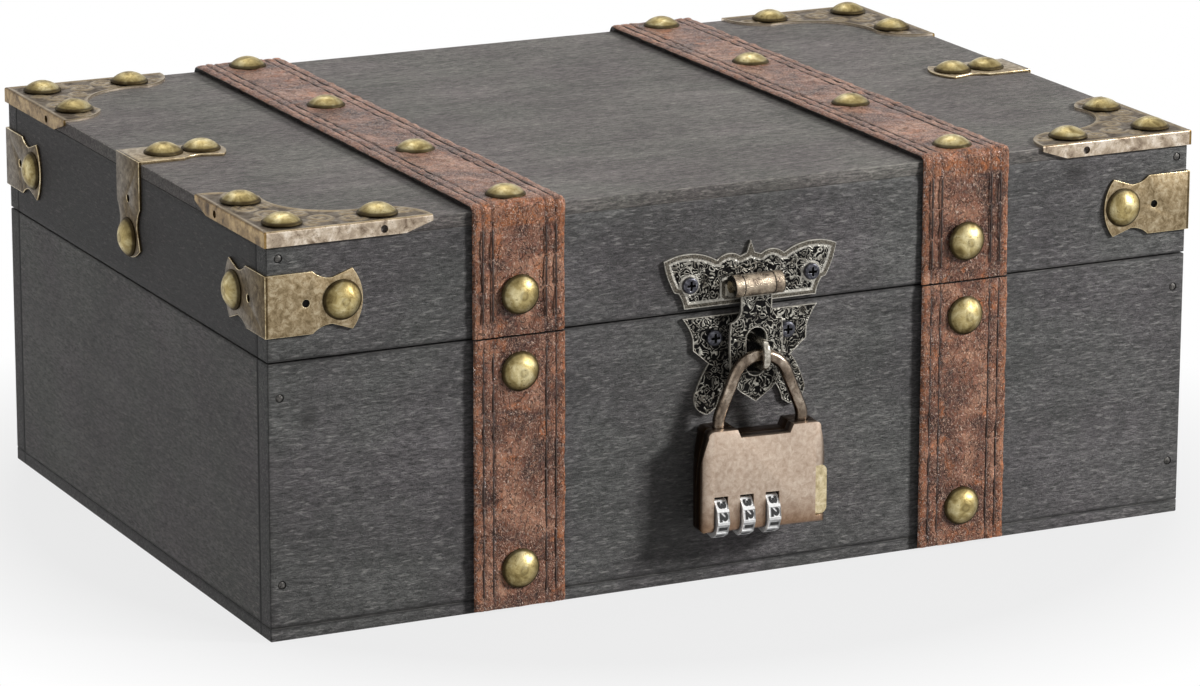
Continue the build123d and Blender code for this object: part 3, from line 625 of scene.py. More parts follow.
def sew_and_crease(piece, across):
    """Presses the sewn grooves, rounds the long edges, crinkles the face and gives the strip its body."""
    coat(piece, leather, leather_cut)
    grooves = piece.vertex_groups.new(name="grooves")
    rounding = piece.vertex_groups.new(name="rounding")
    sewn, handled = [], []
    for point, distance in zip(piece.data.vertices, across):
        from_edge = strap_width / 2 - distance
        nearest = min(abs(from_edge - row) for row in stitch_rows)
        sewn.append(max(0.0, 1 - nearest / groove_reach))
        at_fold = abs(point.co.y) > handled_fold[0] and point.co.z > handled_fold[1]
        handled.append(1.0 if at_fold else max(0.0, 1 - from_edge / handled_edge_reach))
        if sewn[-1] > 0:
            grooves.add([point.index], sewn[-1], "REPLACE")
        if from_edge < edge_round_reach:
            rounding.add([point.index], 1.0 if from_edge < edge_tip_reach else 0.3, "REPLACE")
    # sewn: where the face is darkened along the grooves: darker pressed leather and painted shade
    mark(piece, "sewn", sewn)
    mark(piece, "handled", handled)
    for label, strength, group, pattern in (
        ("press", -groove_depth, "grooves", None),
        ("round", -edge_rounding, "rounding", None),
        ("crinkle", crinkle_depth, "", crinkle_pattern),
        ("crease", crease_depth, "", crease_pattern),
    ):
        change = piece.modifiers.new(label, "DISPLACE")
        change.strength = strength
        change.mid_level = 0.5 if pattern else 0.0
        change.vertex_group = group
        if pattern:
            change.texture = pattern
            change.texture_coords = "LOCAL"
    thick = piece.modifiers.new("thickness", "SOLIDIFY")
    thick.thickness = strap_thickness
    thick.offset = -1
    thick.material_offset_rim = 1
    only(piece)
    for label in ("press", "round", "crinkle", "crease", "thickness"):
        bpy.ops.object.modifier_apply(modifier=label)
    smooth(piece, 60)


def stitches(name, body, places):
    """Waxed thread in the grooves: short stitches that dip into the leather at both ends."""
    deselect()
    bpy.ops.mesh.primitive_cylinder_add(
        vertices=6, radius=thread_radius, depth=stitch_length, rotation=(math.pi / 2, 0, 0)
    )
    piece = settle(bpy.context.object, "stitch_pattern")
    choose(piece, "FACE", lambda face: abs(face.normal.y) > roughly)
    bpy.ops.mesh.inset(thickness=stitch_taper, depth=stitch_tip, use_individual=True)
    bpy.ops.transform.translate(value=(0, 0, -stitch_dip))
    close()
    smooth(piece, 70)
    spread_out(name, piece, places, thread, body, "leather")
    bpy.data.objects.remove(piece)


def stitch_places(side, middle, low, high):
    """Where the stitches of the four rows go on one side of the box."""
    count = int((high - low) / stitch_pitch)
    slack = (high - low - count * stitch_pitch) / 2
    found = []
    for sign in (-1, 1):
        for row in stitch_rows:
            x = middle + sign * (strap_width / 2 - row)
            for step in range(count):
                spot = low + slack + (step + 0.5) * stitch_pitch
                found.append(facing(side, x, spot, strap_thickness - stitch_sink))
    return found


for side_name, x in (("left", -strap_place), ("right", strap_place)):
    for side, turn in (("front", 1), ("back", -1)):
        node = f"body_{side}_strap_{side_name}"
        low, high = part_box(node)
        piece, across, along = strip(node + "_leather", (x, 0, 0), high.z - low.z)
        tilt = Matrix.Rotation(math.pi / 2 * turn, 4, "X")
        place = Vector((0, -turn * (half_depth + strap_thickness), (low.z + high.z) / 2))
        piece.data.transform(Matrix.Translation(place) @ tilt)
        sew_and_crease(piece, across)
        carry(piece, "base", "leather", node)
        stitches(node + "_stitching", "base", stitch_places(side, x, low.z, high.z))
    node = f"lid_strap_{side_name}"
    low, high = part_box(node)
    bend_run = strap_fold * math.pi / 2
    flat = high.y - low.y - 2 * strap_fold
    drop = high.z - low.z - strap_fold
    piece, across, along = strip(node + "_leather", (x, 0, high.z), flat + 2 * (bend_run + drop))
    fold_down(piece, along, -flat / 2, -1, high.z)
    fold_down(piece, along, flat / 2, 1, high.z)
    sew_and_crease(piece, across)
    carry(piece, "lid", "leather", node)
    spots = stitch_places("front", x, low.z, high.z - fold_margin)
    spots += stitch_places("back", x, low.z, high.z - fold_margin)
    spots += stitch_places("top", x, -top_stitch_reach, top_stitch_reach)
    stitches(node + "_stitching", "lid", spots)


# Domed studs
# Upholstery nails: thin brass sheet pressed into a dome over a steel shank, antiqued dark and
# polished again on top. They hold the straps and the brass corners; the dark line at the rim and the
# darkening down the dome are grime and painted shade.
stud_height = 0.003
stud_profile = [(0.0052, 0.0), (0.0057, 0.00012), (0.0057, 0.00034), (0.0055, 0.00056), (0.00522, 0.00074)]
dome_steps = 11
grime_and_shade_rim = 0.0050
grime_and_shade_start = 0.0024
tip_mark = (0.0008, 0.0013)
brass_lift = 0.0008
strap_stud_heights = (0.012, 0.0689)
lid_strap_stud_height = 0.0908
top_stud_places = (-0.0925, -0.032, 0.032, 0.0925)
cap_stud_places = ((0.008, 0.008), (0.036, 0.0075), (0.0075, 0.036))
bracket_stud_reaches = ((long_sides, 0.1232), (short_sides, 0.0782))
side_bracket_stud_insets = (0.0103, 0.0218)
side_bracket_stud_height = 0.0922


def antique_brass(name, deep, middle, bright, rough, blotch, pit):
    """Aged brass: cloudy tarnish, dark pits, dirt and painted shade where the mesh says and bright rubbed
    edges.
    """
    finish, shader, place = new_finish(name)
    deep, middle, bright = shade(*deep), shade(*middle), shade(*bright)
    clouds = speckle(place, blotch, 5.0, 0.65, 0.5)
    pits = speckle(place, pit, 3.0, 0.6)
    colour = graded(clouds, (0.30, deep), (0.50, middle), (0.70, bright))
    holes = graded(pits, (0.32, 1.0), (0.40, 0.0))
    colour = blended(times(holes, 0.7), colour, deep)
    # dirt_and_shade: patina in the caps' sunk ground; on the studs, grime and painted shade towards the rim
    dirt_and_shade = marked(place, "dirt_and_shade")
    colour = blended(dirt_and_shade, colour, shade(34, 24, 14))
    colour = blended(marked(place, "rubbed"), colour, bright)
    matt = graded(clouds, (0.3, rough[1]), (0.7, rough[0]))
    matt = worked("ADD", matt, times(dirt_and_shade, 0.3))
    fill(shader, {"Base Color": colour, "Roughness": matt, "Metallic": 1.0})
    set_bump(shader, worked("ADD", pits, clouds), 0.00009, 0.5)
    return finish


stud_brass = antique_brass(
    "stud_brass", (104, 88, 50), (172, 155, 106), (224, 211, 166), (0.32, 0.46), 0.0045, 0.0007
)


def clean(piece, *names):
    """Marks a piece as nowhere rubbed, or nowhere dirty and shaded, whichever is named."""
    for name in names:
        mark(piece, name, [0.0] * len(piece.data.vertices))


def stud_pattern():
    """A flanged rim and a ball-shaped dome, darkened by grime and painted shade towards the rim, with a dark
    ring round the tip.
    """
    rim, base = stud_profile[-1]
    rise = stud_height - base
    ball = (rim ** 2 + rise ** 2) / (2 * rise)
    turn = math.asin(rim / ball)
    rings = list(stud_profile)
    for step in range(1, dome_steps):
        angle = turn * (1 - step / dome_steps)
        rings.append((ball * math.sin(angle), stud_height - ball + ball * math.cos(angle)))
    piece = turned(rings, 40)
    dirt_and_shade = []
    for point in piece.data.vertices:
        reach = math.hypot(point.co.x, point.co.y)
        # grime and painted shade, growing down the dome's side and full on the flange at the rim
        sloping = 0.6 * max(0.0, (reach - grime_and_shade_start) / (grime_and_shade_rim - grime_and_shade_start))
        grime_and_shade = 0.92 if reach > grime_and_shade_rim else sloping
        dirt_and_shade.append(0.4 if tip_mark[0] < reach < tip_mark[1] else grime_and_shade)
    mark(piece, "dirt_and_shade", dirt_and_shade)
    clean(piece, "rubbed")
    smooth(piece, 60)
    return piece


pattern = stud_pattern()
body_strap_spots = [
    facing(side, end * strap_place, height, strap_thickness)
    for side in long_sides for end in ends for height in strap_stud_heights
]
lid_strap_spots = [
    facing(side, end * strap_place, lid_strap_stud_height, strap_thickness)
    for side in long_sides for end in ends
]
lid_strap_spots += [
    facing("top", end * strap_place, spot, strap_thickness)
    for end in ends for spot in top_stud_places
]
cap_spots = [
    facing("top", end * (half_length - across), side * (half_depth - along), brass_lift)
    for end in ends for side in ends for across, along in cap_stud_places
]
bracket_spots = [
    facing(side, end * reach, bracket_height, brass_lift)
    for sides, reach in bracket_stud_reaches for side in sides for end in ends
]
middle_spots = [
    facing("top", end * (half_length - inset), 0, brass_lift)
    for end in ends for inset in side_bracket_stud_insets
]
middle_spots += [facing(side, 0, side_bracket_stud_height, brass_lift) for side in short_sides]
for name, body, node, spots in (
    ("body_strap_stud_heads", "base", "body_strap_studs", body_strap_spots),
    ("lid_strap_stud_heads", "lid", "lid_strap_studs", lid_strap_spots),
    ("corner_cap_stud_heads", "lid", "corner_cap_studs", cap_spots),
    ("corner_bracket_stud_heads", "lid", "corner_bracket_studs", bracket_spots),
    ("side_bracket_stud_heads", "lid", "side_bracket_studs", middle_spots),
):
    spread_out(name, pattern, spots, stud_brass, body, "stud_brass", node)
bpy.data.objects.remove(pattern)


# Corner caps
# Thin brass sheet stamped with leafy scrolls, folded over the lid's top corners and held by studs;
# the raised scrolls and the cut edges are rubbed bright, the ground between them is dark.
relief_mesh = 0.00055
ground_depth = 0.0003
outline_step = 0.0002
curl_steps = 40
cap_rim = (0.0007, 0.0013)
scroll_band = (0.0004, 0.0010)
face_play = 0.0001
edge_play = 0.00003


def copy_of(node, name):
    """A separate, merged copy of a node's shape, to work on."""
    piece = bpy.data.objects.new(name, nodes[node].data.copy())
    bpy.context.collection.objects.link(piece)
    only(piece)
    bpy.ops.object.mode_set(mode="EDIT")
    bpy.ops.mesh.select_mode(type="VERT")
    bpy.ops.mesh.reveal()
    bpy.ops.mesh.select_all(action="SELECT")
    bpy.ops.mesh.remove_doubles(threshold=0.000002)
    bpy.ops.mesh.dissolve_limited(angle_limit=math.radians(0.5))
    close()
    only(piece)
    bpy.ops.mesh.customdata_custom_splitnormals_clear()
    return piece


def ruled(piece, axis, low, high, pitch):
    """Cuts the mesh into strips along one axis, so that its face can take a relief."""
    normal = Vector((0, 0, 0))
    normal[axis] = 1
    bpy.ops.object.mode_set(mode="EDIT")
    steps = round((high - low) / pitch)
    for step in range(1, steps):
        spot = Vector((0, 0, 0))
        spot[axis] = low + (high - low) * step / steps
        bpy.ops.mesh.select_all(action="SELECT")
        bpy.ops.mesh.bisect(plane_co=spot, plane_no=normal)
    close()


def outline_of(piece, on_face):
    """Points along the sharp outline of a face, close together."""
    shape = bmesh.new()
    shape.from_mesh(piece.data)
    found = []
    for edge in shape.edges:
        inside = [on_face(face) for face in edge.link_faces]
        if any(inside) and not all(inside):
            start, end = edge.verts[0].co, edge.verts[1].co
            steps = max(1, round((end - start).length / outline_step))
            found += [start.lerp(end, step / steps) for step in range(steps + 1)]
    shape.free()
    return found


def nearest_to(points):
    """A way to ask how far any place is from the nearest of these points."""
    tree = kdtree.KDTree(len(points))
    for index, point in enumerate(points):
        tree.insert(point, index)
    tree.balance()
    return lambda point: tree.find(point)[2]


def eased(value, low, high):
    """Rises softly from 0 to 1 while the value passes from low to high."""
    share = min(1.0, max(0.0, (value - low) / (high - low)))
    return share * share * (3 - 2 * share)


def curl(middle, outer, inner, start, turns):
    """Points along a flat spiral."""
    found = []
    steps = int(abs(turns) * curl_steps)
    for step in range(steps + 1):
        share = step / steps
        angle = start + turns * 2 * math.pi * share
        radius = outer + (inner - outer) * share
        found.append(Vector((middle[0] + radius * math.cos(angle), middle[1] + radius * math.sin(angle), 0)))
    return found


def cap_scrolls():
    """The scrolls on one cap, measured from the corner of the box along both legs."""
    leg = []
    for middle, outer, inner, start, turns in (
        ((0.0195, 0.0095), 0.0044, 0.0008, -2.6, 1.45),
        ((0.0278, 0.0060), 0.0040, 0.0007, 0.4, -1.4),
        ((0.0440, 0.0085), 0.0032, 0.0006, 2.6, 1.3),
        ((0.0155, 0.0040), 0.0022, 0.0005, 1.2, 1.1),
        ((0.0290, 0.0112), 0.0020, 0.0005, 3.4, -1.0),
    ):
        leg += curl(middle, outer, inner, start, turns)
    other_leg = [Vector((point.y, point.x, 0)) for point in leg]
    return leg + other_leg + curl((0.0165, 0.0165), 0.0036, 0.0006, 0.8, 1.3)


def tinted(name, base, face_shades, rough, blotch, pit):
    """Aged brass with painted shade over some parts, each given by a direction and how far along it that is.
    """
    finish = antique_brass(name, *base, rough, blotch, pit)
    parts = {node.type: node for node in finish.node_tree.nodes}
    shader, place = parts["BSDF_PRINCIPLED"], parts["TEX_COORD"].outputs["Object"]
    colour = shader.inputs["Base Color"].links[0].from_socket
    for axis, near, far, tint, way in face_shades:
        along = add(place, "VectorMath", {0: place, 1: axis}, operation="DOT_PRODUCT").outputs["Value"]
        if way == "both sides":
            along = worked("ABSOLUTE", along)
        reach = fading(along, near, far, 0.0, 1.0)
        colour = blended(reach, colour, blended(1.0, colour, shade(*tint), "MULTIPLY"))
    fill(shader, {"Base Color": colour})
    return finish


# painted shade: cap tops painted darker and yellower, and the skirts on the box's ends darker
cap_brass = tinted(
    "cap_brass", ((92, 76, 62), (182, 166, 146), (238, 226, 210)),
    (((0, 0, 1), 0.1154, 0.1157, (164, 154, 130), "one side"),
     ((1, 0, 0), 0.1450, 0.1452, (182, 162, 116), "both sides")),
    (0.26, 0.46), 0.0040, 0.0005,
)
# painted shade: the brackets' parts on the box's ends are painted darker
bracket_brass = tinted(
    "bracket_brass", ((94, 79, 55), (144, 127, 99), (184, 169, 141)),
    (((1, 0, 0), 0.1448, 0.1451, (150, 144, 132), "both sides"),),
    (0.30, 0.48), 0.0017, 0.0005,
)
bright_brass = antique_brass(
    "bright_brass", (120, 100, 70), (190, 172, 136), (232, 220, 190), (0.2, 0.4), 0.0012, 0.0004
)


def stamped_cap():
    """The front-left cap: a merged copy of its node, its top ruled fine and pressed into relief."""
    low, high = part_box("corner_cap_front_left")
    piece = copy_of("corner_cap_front_left", "cap_pattern")
    ruled(piece, 0, low.x, high.x, relief_mesh)
    ruled(piece, 1, low.y, high.y, relief_mesh)

    def on_top(face):
        return face.normal.z > squarely and face.calc_center_median().z > high.z - face_play

    edge_distance = nearest_to(outline_of(piece, on_top))
    scroll_distance = nearest_to(cap_scrolls())
    corner = Vector((-half_length, -half_depth, 0))
    dirt_and_shade, rubbed = [], []
    for point in piece.data.vertices:
        level, worn = 1.0, 0.0
        if point.co.z > high.z - face_play:
            from_corner = Vector((point.co.x - corner.x, point.co.y - corner.y, 0))
            from_edge = edge_distance(point.co)
            level = max(1 - eased(from_edge, *cap_rim), 1 - eased(scroll_distance(from_corner), *scroll_band))
            worn = 0.8 if from_edge < edge_play else 0.45 * level
            point.co.z -= ground_depth * (1 - level)
        rubbed.append(worn)
        dirt_and_shade.append(0.75 * (1 - level))
    mark(piece, "dirt_and_shade", dirt_and_shade)
    mark(piece, "rubbed", rubbed)
    smooth(piece, 50)
    return piece


cap = stamped_cap()
for label, across, along in (
    ("front_left", 1, 1), ("front_right", -1, 1), ("back_left", 1, -1), ("back_right", -1, -1)
):
    twin = twin_of(cap, f"corner_cap_{label}_stamped", Matrix.Diagonal((across, along, 1, 1)))
    if across * along < 0:
        twin.data.flip_normals()
    coat(twin, cap_brass)
    carry(twin, "lid", "cap_brass", f"corner_cap_{label}")
bpy.data.objects.remove(cap)


# Corner and side brackets
# Plain strips of the same brass bent over the lid's corners and ends, cut to a waisted shape, drilled
# and studded; the cut edges are bright.
bracket_edge = 0.00025


def bright_edged(node, finish, edge_finish, slot, body, depth):
    """A merged copy of a fitting, its sharp edges broken and rubbed bright."""
    piece = copy_of(node, node + "_worked")
    coat(piece, finish, edge_finish)
    soften = piece.modifiers.new("edges", "BEVEL")
    soften.width = depth
    soften.segments = 2
    soften.limit_method = "ANGLE"
    soften.angle_limit = math.radians(40)
    soften.harden_normals = False
    soften.material = 1
    only(piece)
    bpy.ops.object.modifier_apply(modifier="edges")
    clean(piece, "rubbed", "dirt_and_shade")
    smooth(piece, 40)
    carry(piece, body, slot, node)
    return piece


for corner in ("front_left", "front_right", "back_left", "back_right"):
    bright_edged(f"corner_bracket_{corner}", bracket_brass, bright_brass, "cap_brass", "lid", bracket_edge)
for end in ("left", "right"):
    bright_edged(f"side_bracket_{end}", bracket_brass, bright_brass, "cap_brass", "lid", bracket_edge)


# Butterfly hasp
# A cast plate with wings on the lid, a tail plate on the body and a hinged flap over a wire staple.
# They are blackened all over; the worm-like ridges are polished to bright metal, the rims to bronze.
hasp_mesh = 0.00026
worm_turns = 36.0
worm_size = 0.0023
ridge_scale = 900
ridge_seed = 4
field_depth = 0.0003
flap_field_depth = 0.0002
plate_face = -0.101
flap_face = -0.105
wide_rim = (0.0015, 0.0019)
rim_line = (wide_rim[0] - 0.0002, wide_rim[1] + 0.0001)
narrow_rim = (0.0002, 0.0004)
hasp_middle = 0.0015
barrel_middle = (-0.1044, 0.0863)
barrel_reach = 0.0035
barrel_end = 0.95
flap_shade_middle = 0.0700
flap_shade_reach = (0.0062, 0.012)
screw_face = -0.1021
screw_recess = 0.0015
screw_edge = 0.00012


def blackened_cast(name):
    """Black lacquer in the hollows, pale bronze on the rims and silvery metal on the ridges."""
    finish, shader, place = new_finish(name)
    rim, barrel = marked(place, "rim"), marked(place, "barrel")
    pits = speckle(place, 0.0005, 4.0, 0.65)
    clouds = speckle(place, 0.003, 4.0, 0.6)
    bends = speckle(place, worm_size, 1.0, 0.5, 0.7)
    worms = worked("SINE", times(bends, worm_turns))
    worms = graded(worms, (0.15, 0.0), (0.75, 1.0))
    ridge = graded(clouds, (0.35, shade(98, 93, 84)), (0.65, shade(216, 212, 200)))
    # ridges painted dark behind the hasp flap: painted shade over unrubbed lacquer
    ridge = blended(marked(place, "clear_of_flap_shade"), shade(20, 18, 17), ridge)
    bronze = graded(
        pits, (0.36, shade(26, 24, 22)), (0.48, shade(80, 75, 67)), (0.68, shade(124, 117, 104))
    )
    worn_brass = graded(clouds, (0.3, shade(74, 60, 50)), (0.7, shade(196, 180, 158)))
    colour = blended(times(worms, marked(place, "relief")), shade(10, 9, 9), ridge)
    colour = blended(rim, colour, bronze)
    colour = blended(marked(place, "rubbed"), colour, shade(214, 210, 200))
    colour = blended(barrel, colour, worn_brass)
    matt = graded(worms, (0.0, 0.62), (1.0, 0.34))
    matt = worked("SUBTRACT", matt, times(barrel, 0.12))
    fill(shader, {"Base Color": colour, "Roughness": matt, "Metallic": 0.9})
    plain = worked("MAXIMUM", rim, barrel)
    raised = times(worms, worked("SUBTRACT", 1.0, plain))
    set_bump(shader, worked("ADD", raised, times(pits, 0.4)), 0.0002, 0.9)
    return finish


cast_black = blackened_cast("blackened_cast")
noise.seed_set(ridge_seed)


def ridge_height(point):
    """Low, wavering ridges, parted by hollows where a soft noise crosses its middle."""
    spot = Vector((point.x * ridge_scale, 0.0, point.z * ridge_scale))
    sway = noise.noise_vector(spot * 0.7) * 0.7
    return 0.45 + 0.35 * eased(abs(noise.noise(spot + sway)), 0.085, 0.21)


def cast_plate(node, body, face_y, rim_reach, sunk):
    """A merged copy of a hasp plate with its face ruled fine and pressed into ridges."""
    low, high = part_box(node)
    piece = copy_of(node, node + "_cast")
    ruled(piece, 0, low.x, high.x, hasp_mesh)
    ruled(piece, 2, low.z, high.z, hasp_mesh)

    def on_face(face):
        return face.normal.y < -squarely and abs(face.calc_center_median().y - face_y) < face_play

    edge_distance = nearest_to(outline_of(piece, on_face))
    at_ends = set()
    for face in piece.data.polygons:
        if abs(face.normal.x) > barrel_end:
            at_ends.update(face.vertices)
    marks = {"relief": [], "rim": [], "rubbed": [], "barrel": [], "clear_of_flap_shade": []}
    for point in piece.data.vertices:
        off_face = abs(point.co.y - face_y) > face_play
        from_axis = math.hypot(point.co.y - barrel_middle[0], point.co.z - barrel_middle[1])
        on_barrel = off_face and from_axis < barrel_reach
        if off_face:
            relief, rim, rubbed = (0.0, 0.0, 0.0) if on_barrel else (0.45, 0.5, 0.0)
        else:
            from_edge = edge_distance(point.co)
            band = 1 - eased(from_edge, *rim_reach)
            relief, rim = max(band, ridge_height(point.co)), band * 0.9
            inner_line = rim_reach == wide_rim and rim_line[0] < from_edge < rim_line[1]
            rubbed = 0.9 if from_edge < edge_play else 0.5 if inner_line else 0.0
            point.co.y += sunk * (1 - relief)
        # the tail plate is painted dark behind the flap and the shackle: painted shade, where its black
        # lacquer also stays unrubbed
        across, up = abs(point.co.x - hasp_middle), abs(point.co.z - flap_shade_middle)
        from_flap = max(across / flap_shade_reach[0], up / flap_shade_reach[1])
        marks["relief"].append(relief)
        marks["rim"].append(rim)
        marks["rubbed"].append(rubbed)
        marks["barrel"].append(0.9 if on_barrel and point.index not in at_ends else 0.0)
        marks["clear_of_flap_shade"].append(1.0 if node != "staple_plate" else eased(from_flap, 0.85, 1.0))
    for name, values in marks.items():
        mark(piece, name, values)
    smooth(piece, 50)
    coat(piece, cast_black)
    carry(piece, body, "hasp_black", node)


cast_plate("hasp_plate", "lid", plate_face, wide_rim, field_depth)
cast_plate("staple_plate", "base", plate_face, narrow_rim, field_depth)
cast_plate("hasp_flap", "flap", flap_face, narrow_rim, flap_field_depth)

polished_steel = antique_brass(
    "polished_steel", (96, 90, 80), (176, 170, 158), (224, 220, 210), (0.16, 0.34), 0.002, 0.0005
)
dark_zinc = antique_brass(
    "dark_zinc", (36, 36, 40), (70, 70, 76), (112, 112, 118), (0.3, 0.5), 0.0012, 0.0004
)
barrel_brass = antique_brass(
    "barrel_brass", (96, 80, 58), (168, 152, 122), (222, 210, 184), (0.16, 0.32), 0.003, 0.0006
)
zinc_rim = antique_brass(
    "zinc_rim", (84, 84, 88), (130, 130, 134), (176, 176, 180), (0.3, 0.5), 0.0012, 0.0004
)
# near-black painted shade for the screws' cross recesses
recess_painted_shade = antique_brass(
    "recess_painted_shade", (6, 6, 6), (12, 12, 12), (22, 22, 22), (0.5, 0.7), 0.0012, 0.0004
)


def recoat(node, finish):
    """Keeps a node's own shape and gives it a better finish."""
    nodes[node].data.materials.clear()
    nodes[node].data.materials.append(finish)


def cross_screws(node, body):
    """Merged copies of two screws, with broken rims and a near-black cross recess of painted shade."""
    piece = bright_edged(node, dark_zinc, zinc_rim, "dark_steel", body, screw_edge)
    piece.data.materials.append(recess_painted_shade)
    middles = []
    for sign in (-1, 1):
        side = [point.co for point in piece.data.vertices if (point.co.x - hasp_middle) * sign > 0]
        middles.append([(min(co[axis] for co in side) + max(co[axis] for co in side)) / 2 for axis in (0, 2)])
    # the cross recess gets the near-black finish: painted shade
    for face in piece.data.polygons:
        reach = min(math.hypot(face.center.x - x, face.center.z - z) for x, z in middles)
        if reach < screw_recess and face.center.y > screw_face:
            face.material_index = 2


recoat("staple", polished_steel)
recoat("hasp_pin", barrel_brass)
cross_screws("hasp_plate_screws", "lid")
cross_screws("staple_plate_screws", "base")


# Padlock
# A zinc case in two halves riveted together, plated a mottled rose bronze and brushed bright on its
# round edges, with a worn brass shackle, a brass release button and dark works inside.
case_outward = (0.087156, 0.996195, 0)
bar_radius = 0.0018
padlock_turn = math.radians(-5)
shackle_top = (0.0015, -0.10755, 0.0665)
leg_reach = 0.0126
crown_radius = 0.0084
bend_radius = 0.008
side_lean = math.radians(22)
heel_end = -0.035318
toe_end = -0.026918
leg_step = 0.004
case_corner = 0.0003
# painted shade: the case's sides and back painted dark brown, and the case darker towards the bottom
case_bronze = tinted(
    "case_bronze", ((158, 138, 121), (184, 165, 148), (206, 190, 173)),
    ((case_outward, -0.1112, -0.1090, (84, 66, 46), "one side"),
     ((0, 0, -1), -0.0260, -0.0172, (188, 168, 150), "one side")),
    (0.32, 0.46), 0.0016, 0.0003,
)
case_edge = antique_brass(
    "case_edge", (116, 92, 66), (160, 138, 112), (204, 186, 158), (0.3, 0.45), 0.001, 0.0004
)
shackle_brass = antique_brass(
    "shackle_brass", (58, 50, 43), (116, 103, 90), (176, 163, 148), (0.18, 0.30), 0.005, 0.0006
)
button_brass = antique_brass(
    "button_brass", (160, 144, 110), (206, 190, 152), (234, 220, 189), (0.28, 0.42), 0.002, 0.0005
)
inner_steel = antique_brass(
    "inner_steel", (60, 60, 60), (110, 109, 107), (160, 158, 154), (0.3, 0.45), 0.002, 0.0005
)


def arc(middle_x, middle_z, radius, start, end, steps):
    """Points along an arc in the plane of the shackle; the angles run from straight across to straight up."""
    found = []
    for step in range(steps + 1):
        angle = start + (end - start) * step / steps
        found.append((middle_x + radius * math.cos(angle), middle_z + radius * math.sin(angle)))
    return found


def bent_shackle():
    """Round bar bent into an arch: two legs, two leaning sides and a crown, drawn along its middle line."""
    join_z = crown_radius * (math.sin(side_lean) - 1)
    bend_x = leg_reach - bend_radius * (1 - math.cos(side_lean))
    bend_z = join_z - (bend_x - crown_radius * math.cos(side_lean)) / math.tan(side_lean)
    shoulder = bend_z - bend_radius * math.sin(side_lean)
    half = [(leg_reach, shoulder - leg_step * step) for step in (1.5, 1.0, 0.5)]
    half += arc(leg_reach - bend_radius, shoulder, bend_radius, 0, side_lean, 8)
    half += arc(0, -crown_radius, crown_radius, side_lean, math.pi / 2, 14)
    middle_line = [(-leg_reach, heel_end)] + [(-x, z) for x, z in half]
    middle_line += list(reversed(half))[1:] + [(leg_reach, toe_end)]
    line = bpy.data.curves.new("shackle_line", "CURVE")
    line.dimensions = "3D"
    line.bevel_depth = bar_radius
    line.bevel_resolution = 8
    line.use_fill_caps = True
    run = line.splines.new("POLY")
    run.points.add(len(middle_line) - 1)
    for point, (x, z) in zip(run.points, middle_line):
        point.co = (x, 0, z, 1)
    piece = bpy.data.objects.new("padlock_shackle_bar", line)
    bpy.context.collection.objects.link(piece)
    only(piece)
    bpy.ops.object.convert(target="MESH")
    piece = bpy.context.object
    piece.data.transform(Matrix.Translation(shackle_top) @ Matrix.Rotation(padlock_turn, 4, "Z"))
    choose(piece, "VERT", lambda point: True)
    bpy.ops.mesh.remove_doubles(threshold=same_point)
    bpy.ops.mesh.normals_make_consistent(inside=False)
    close()
    smooth(piece, 50)
    clean(piece, "rubbed", "dirt_and_shade")
    return piece


for node in ("padlock_case_front", "padlock_case_back"):
    bright_edged(node, case_bronze, case_edge, "case_bronze", "case", case_corner)
shackle = bent_shackle()
coat(shackle, shackle_brass)
carry(shackle, "shackle", "shackle_brass", "padlock_shackle")
recoat("release_button", button_brass)
for node in ("padlock_case_pins", "dial_spindle", "button_spring", "shackle_spring", "latch_slide"):
    recoat(node, inner_steel)


# Number dials
# Three small plastic rings, each a ten-sided wheel with a raised bar between its flats; every flat
# carries one moulded number inked black. They turn side by side on one steel spindle.
dial_width = 0.0036
dial_reach = 0.0062
dial_turn = math.radians(29)
dial_step = math.radians(36)
dial_bar = 0.00042
flat_area = 0.000008
groove_width = 0.0003
groove_sink = 0.0003
flat_lip = 0.00008
flat_rise = 0.0001
hub_rim = 0.0004
hub_slope = 0.0012
hub_sink = 0.0003
number_size = 0.0038
number_thick = 0.00004
number_weight = 0.0003
number_lift = 0.00017
number_stretch = (1.18, 0.78)


def dial_plastic():
    finish, shader, place = new_finish("dial_plastic")
    grime = speckle(place, 0.0009, 4.0, 0.65)
    colour = graded(grime, (0.3, shade(222, 221, 219)), (0.6, shade(250, 250, 249)))
    fill(shader, {"Base Color": colour, "Roughness": graded(grime, (0.3, 0.5), (0.7, 0.32))})
    set_bump(shader, grime, 0.00005, 0.3)
    return finish


def dial_ink():
    finish, shader, place = new_finish("dial_ink")
    fade = speckle(place, 0.0005, 3.0, 0.6)
    colour = graded(fade, (0.4, shade(7, 7, 8)), (0.72, shade(26, 26, 27)))
    fill(shader, {"Base Color": colour, "Roughness": 0.5})
    set_bump(shader, fade, 0.00003, 0.3)
    return finish


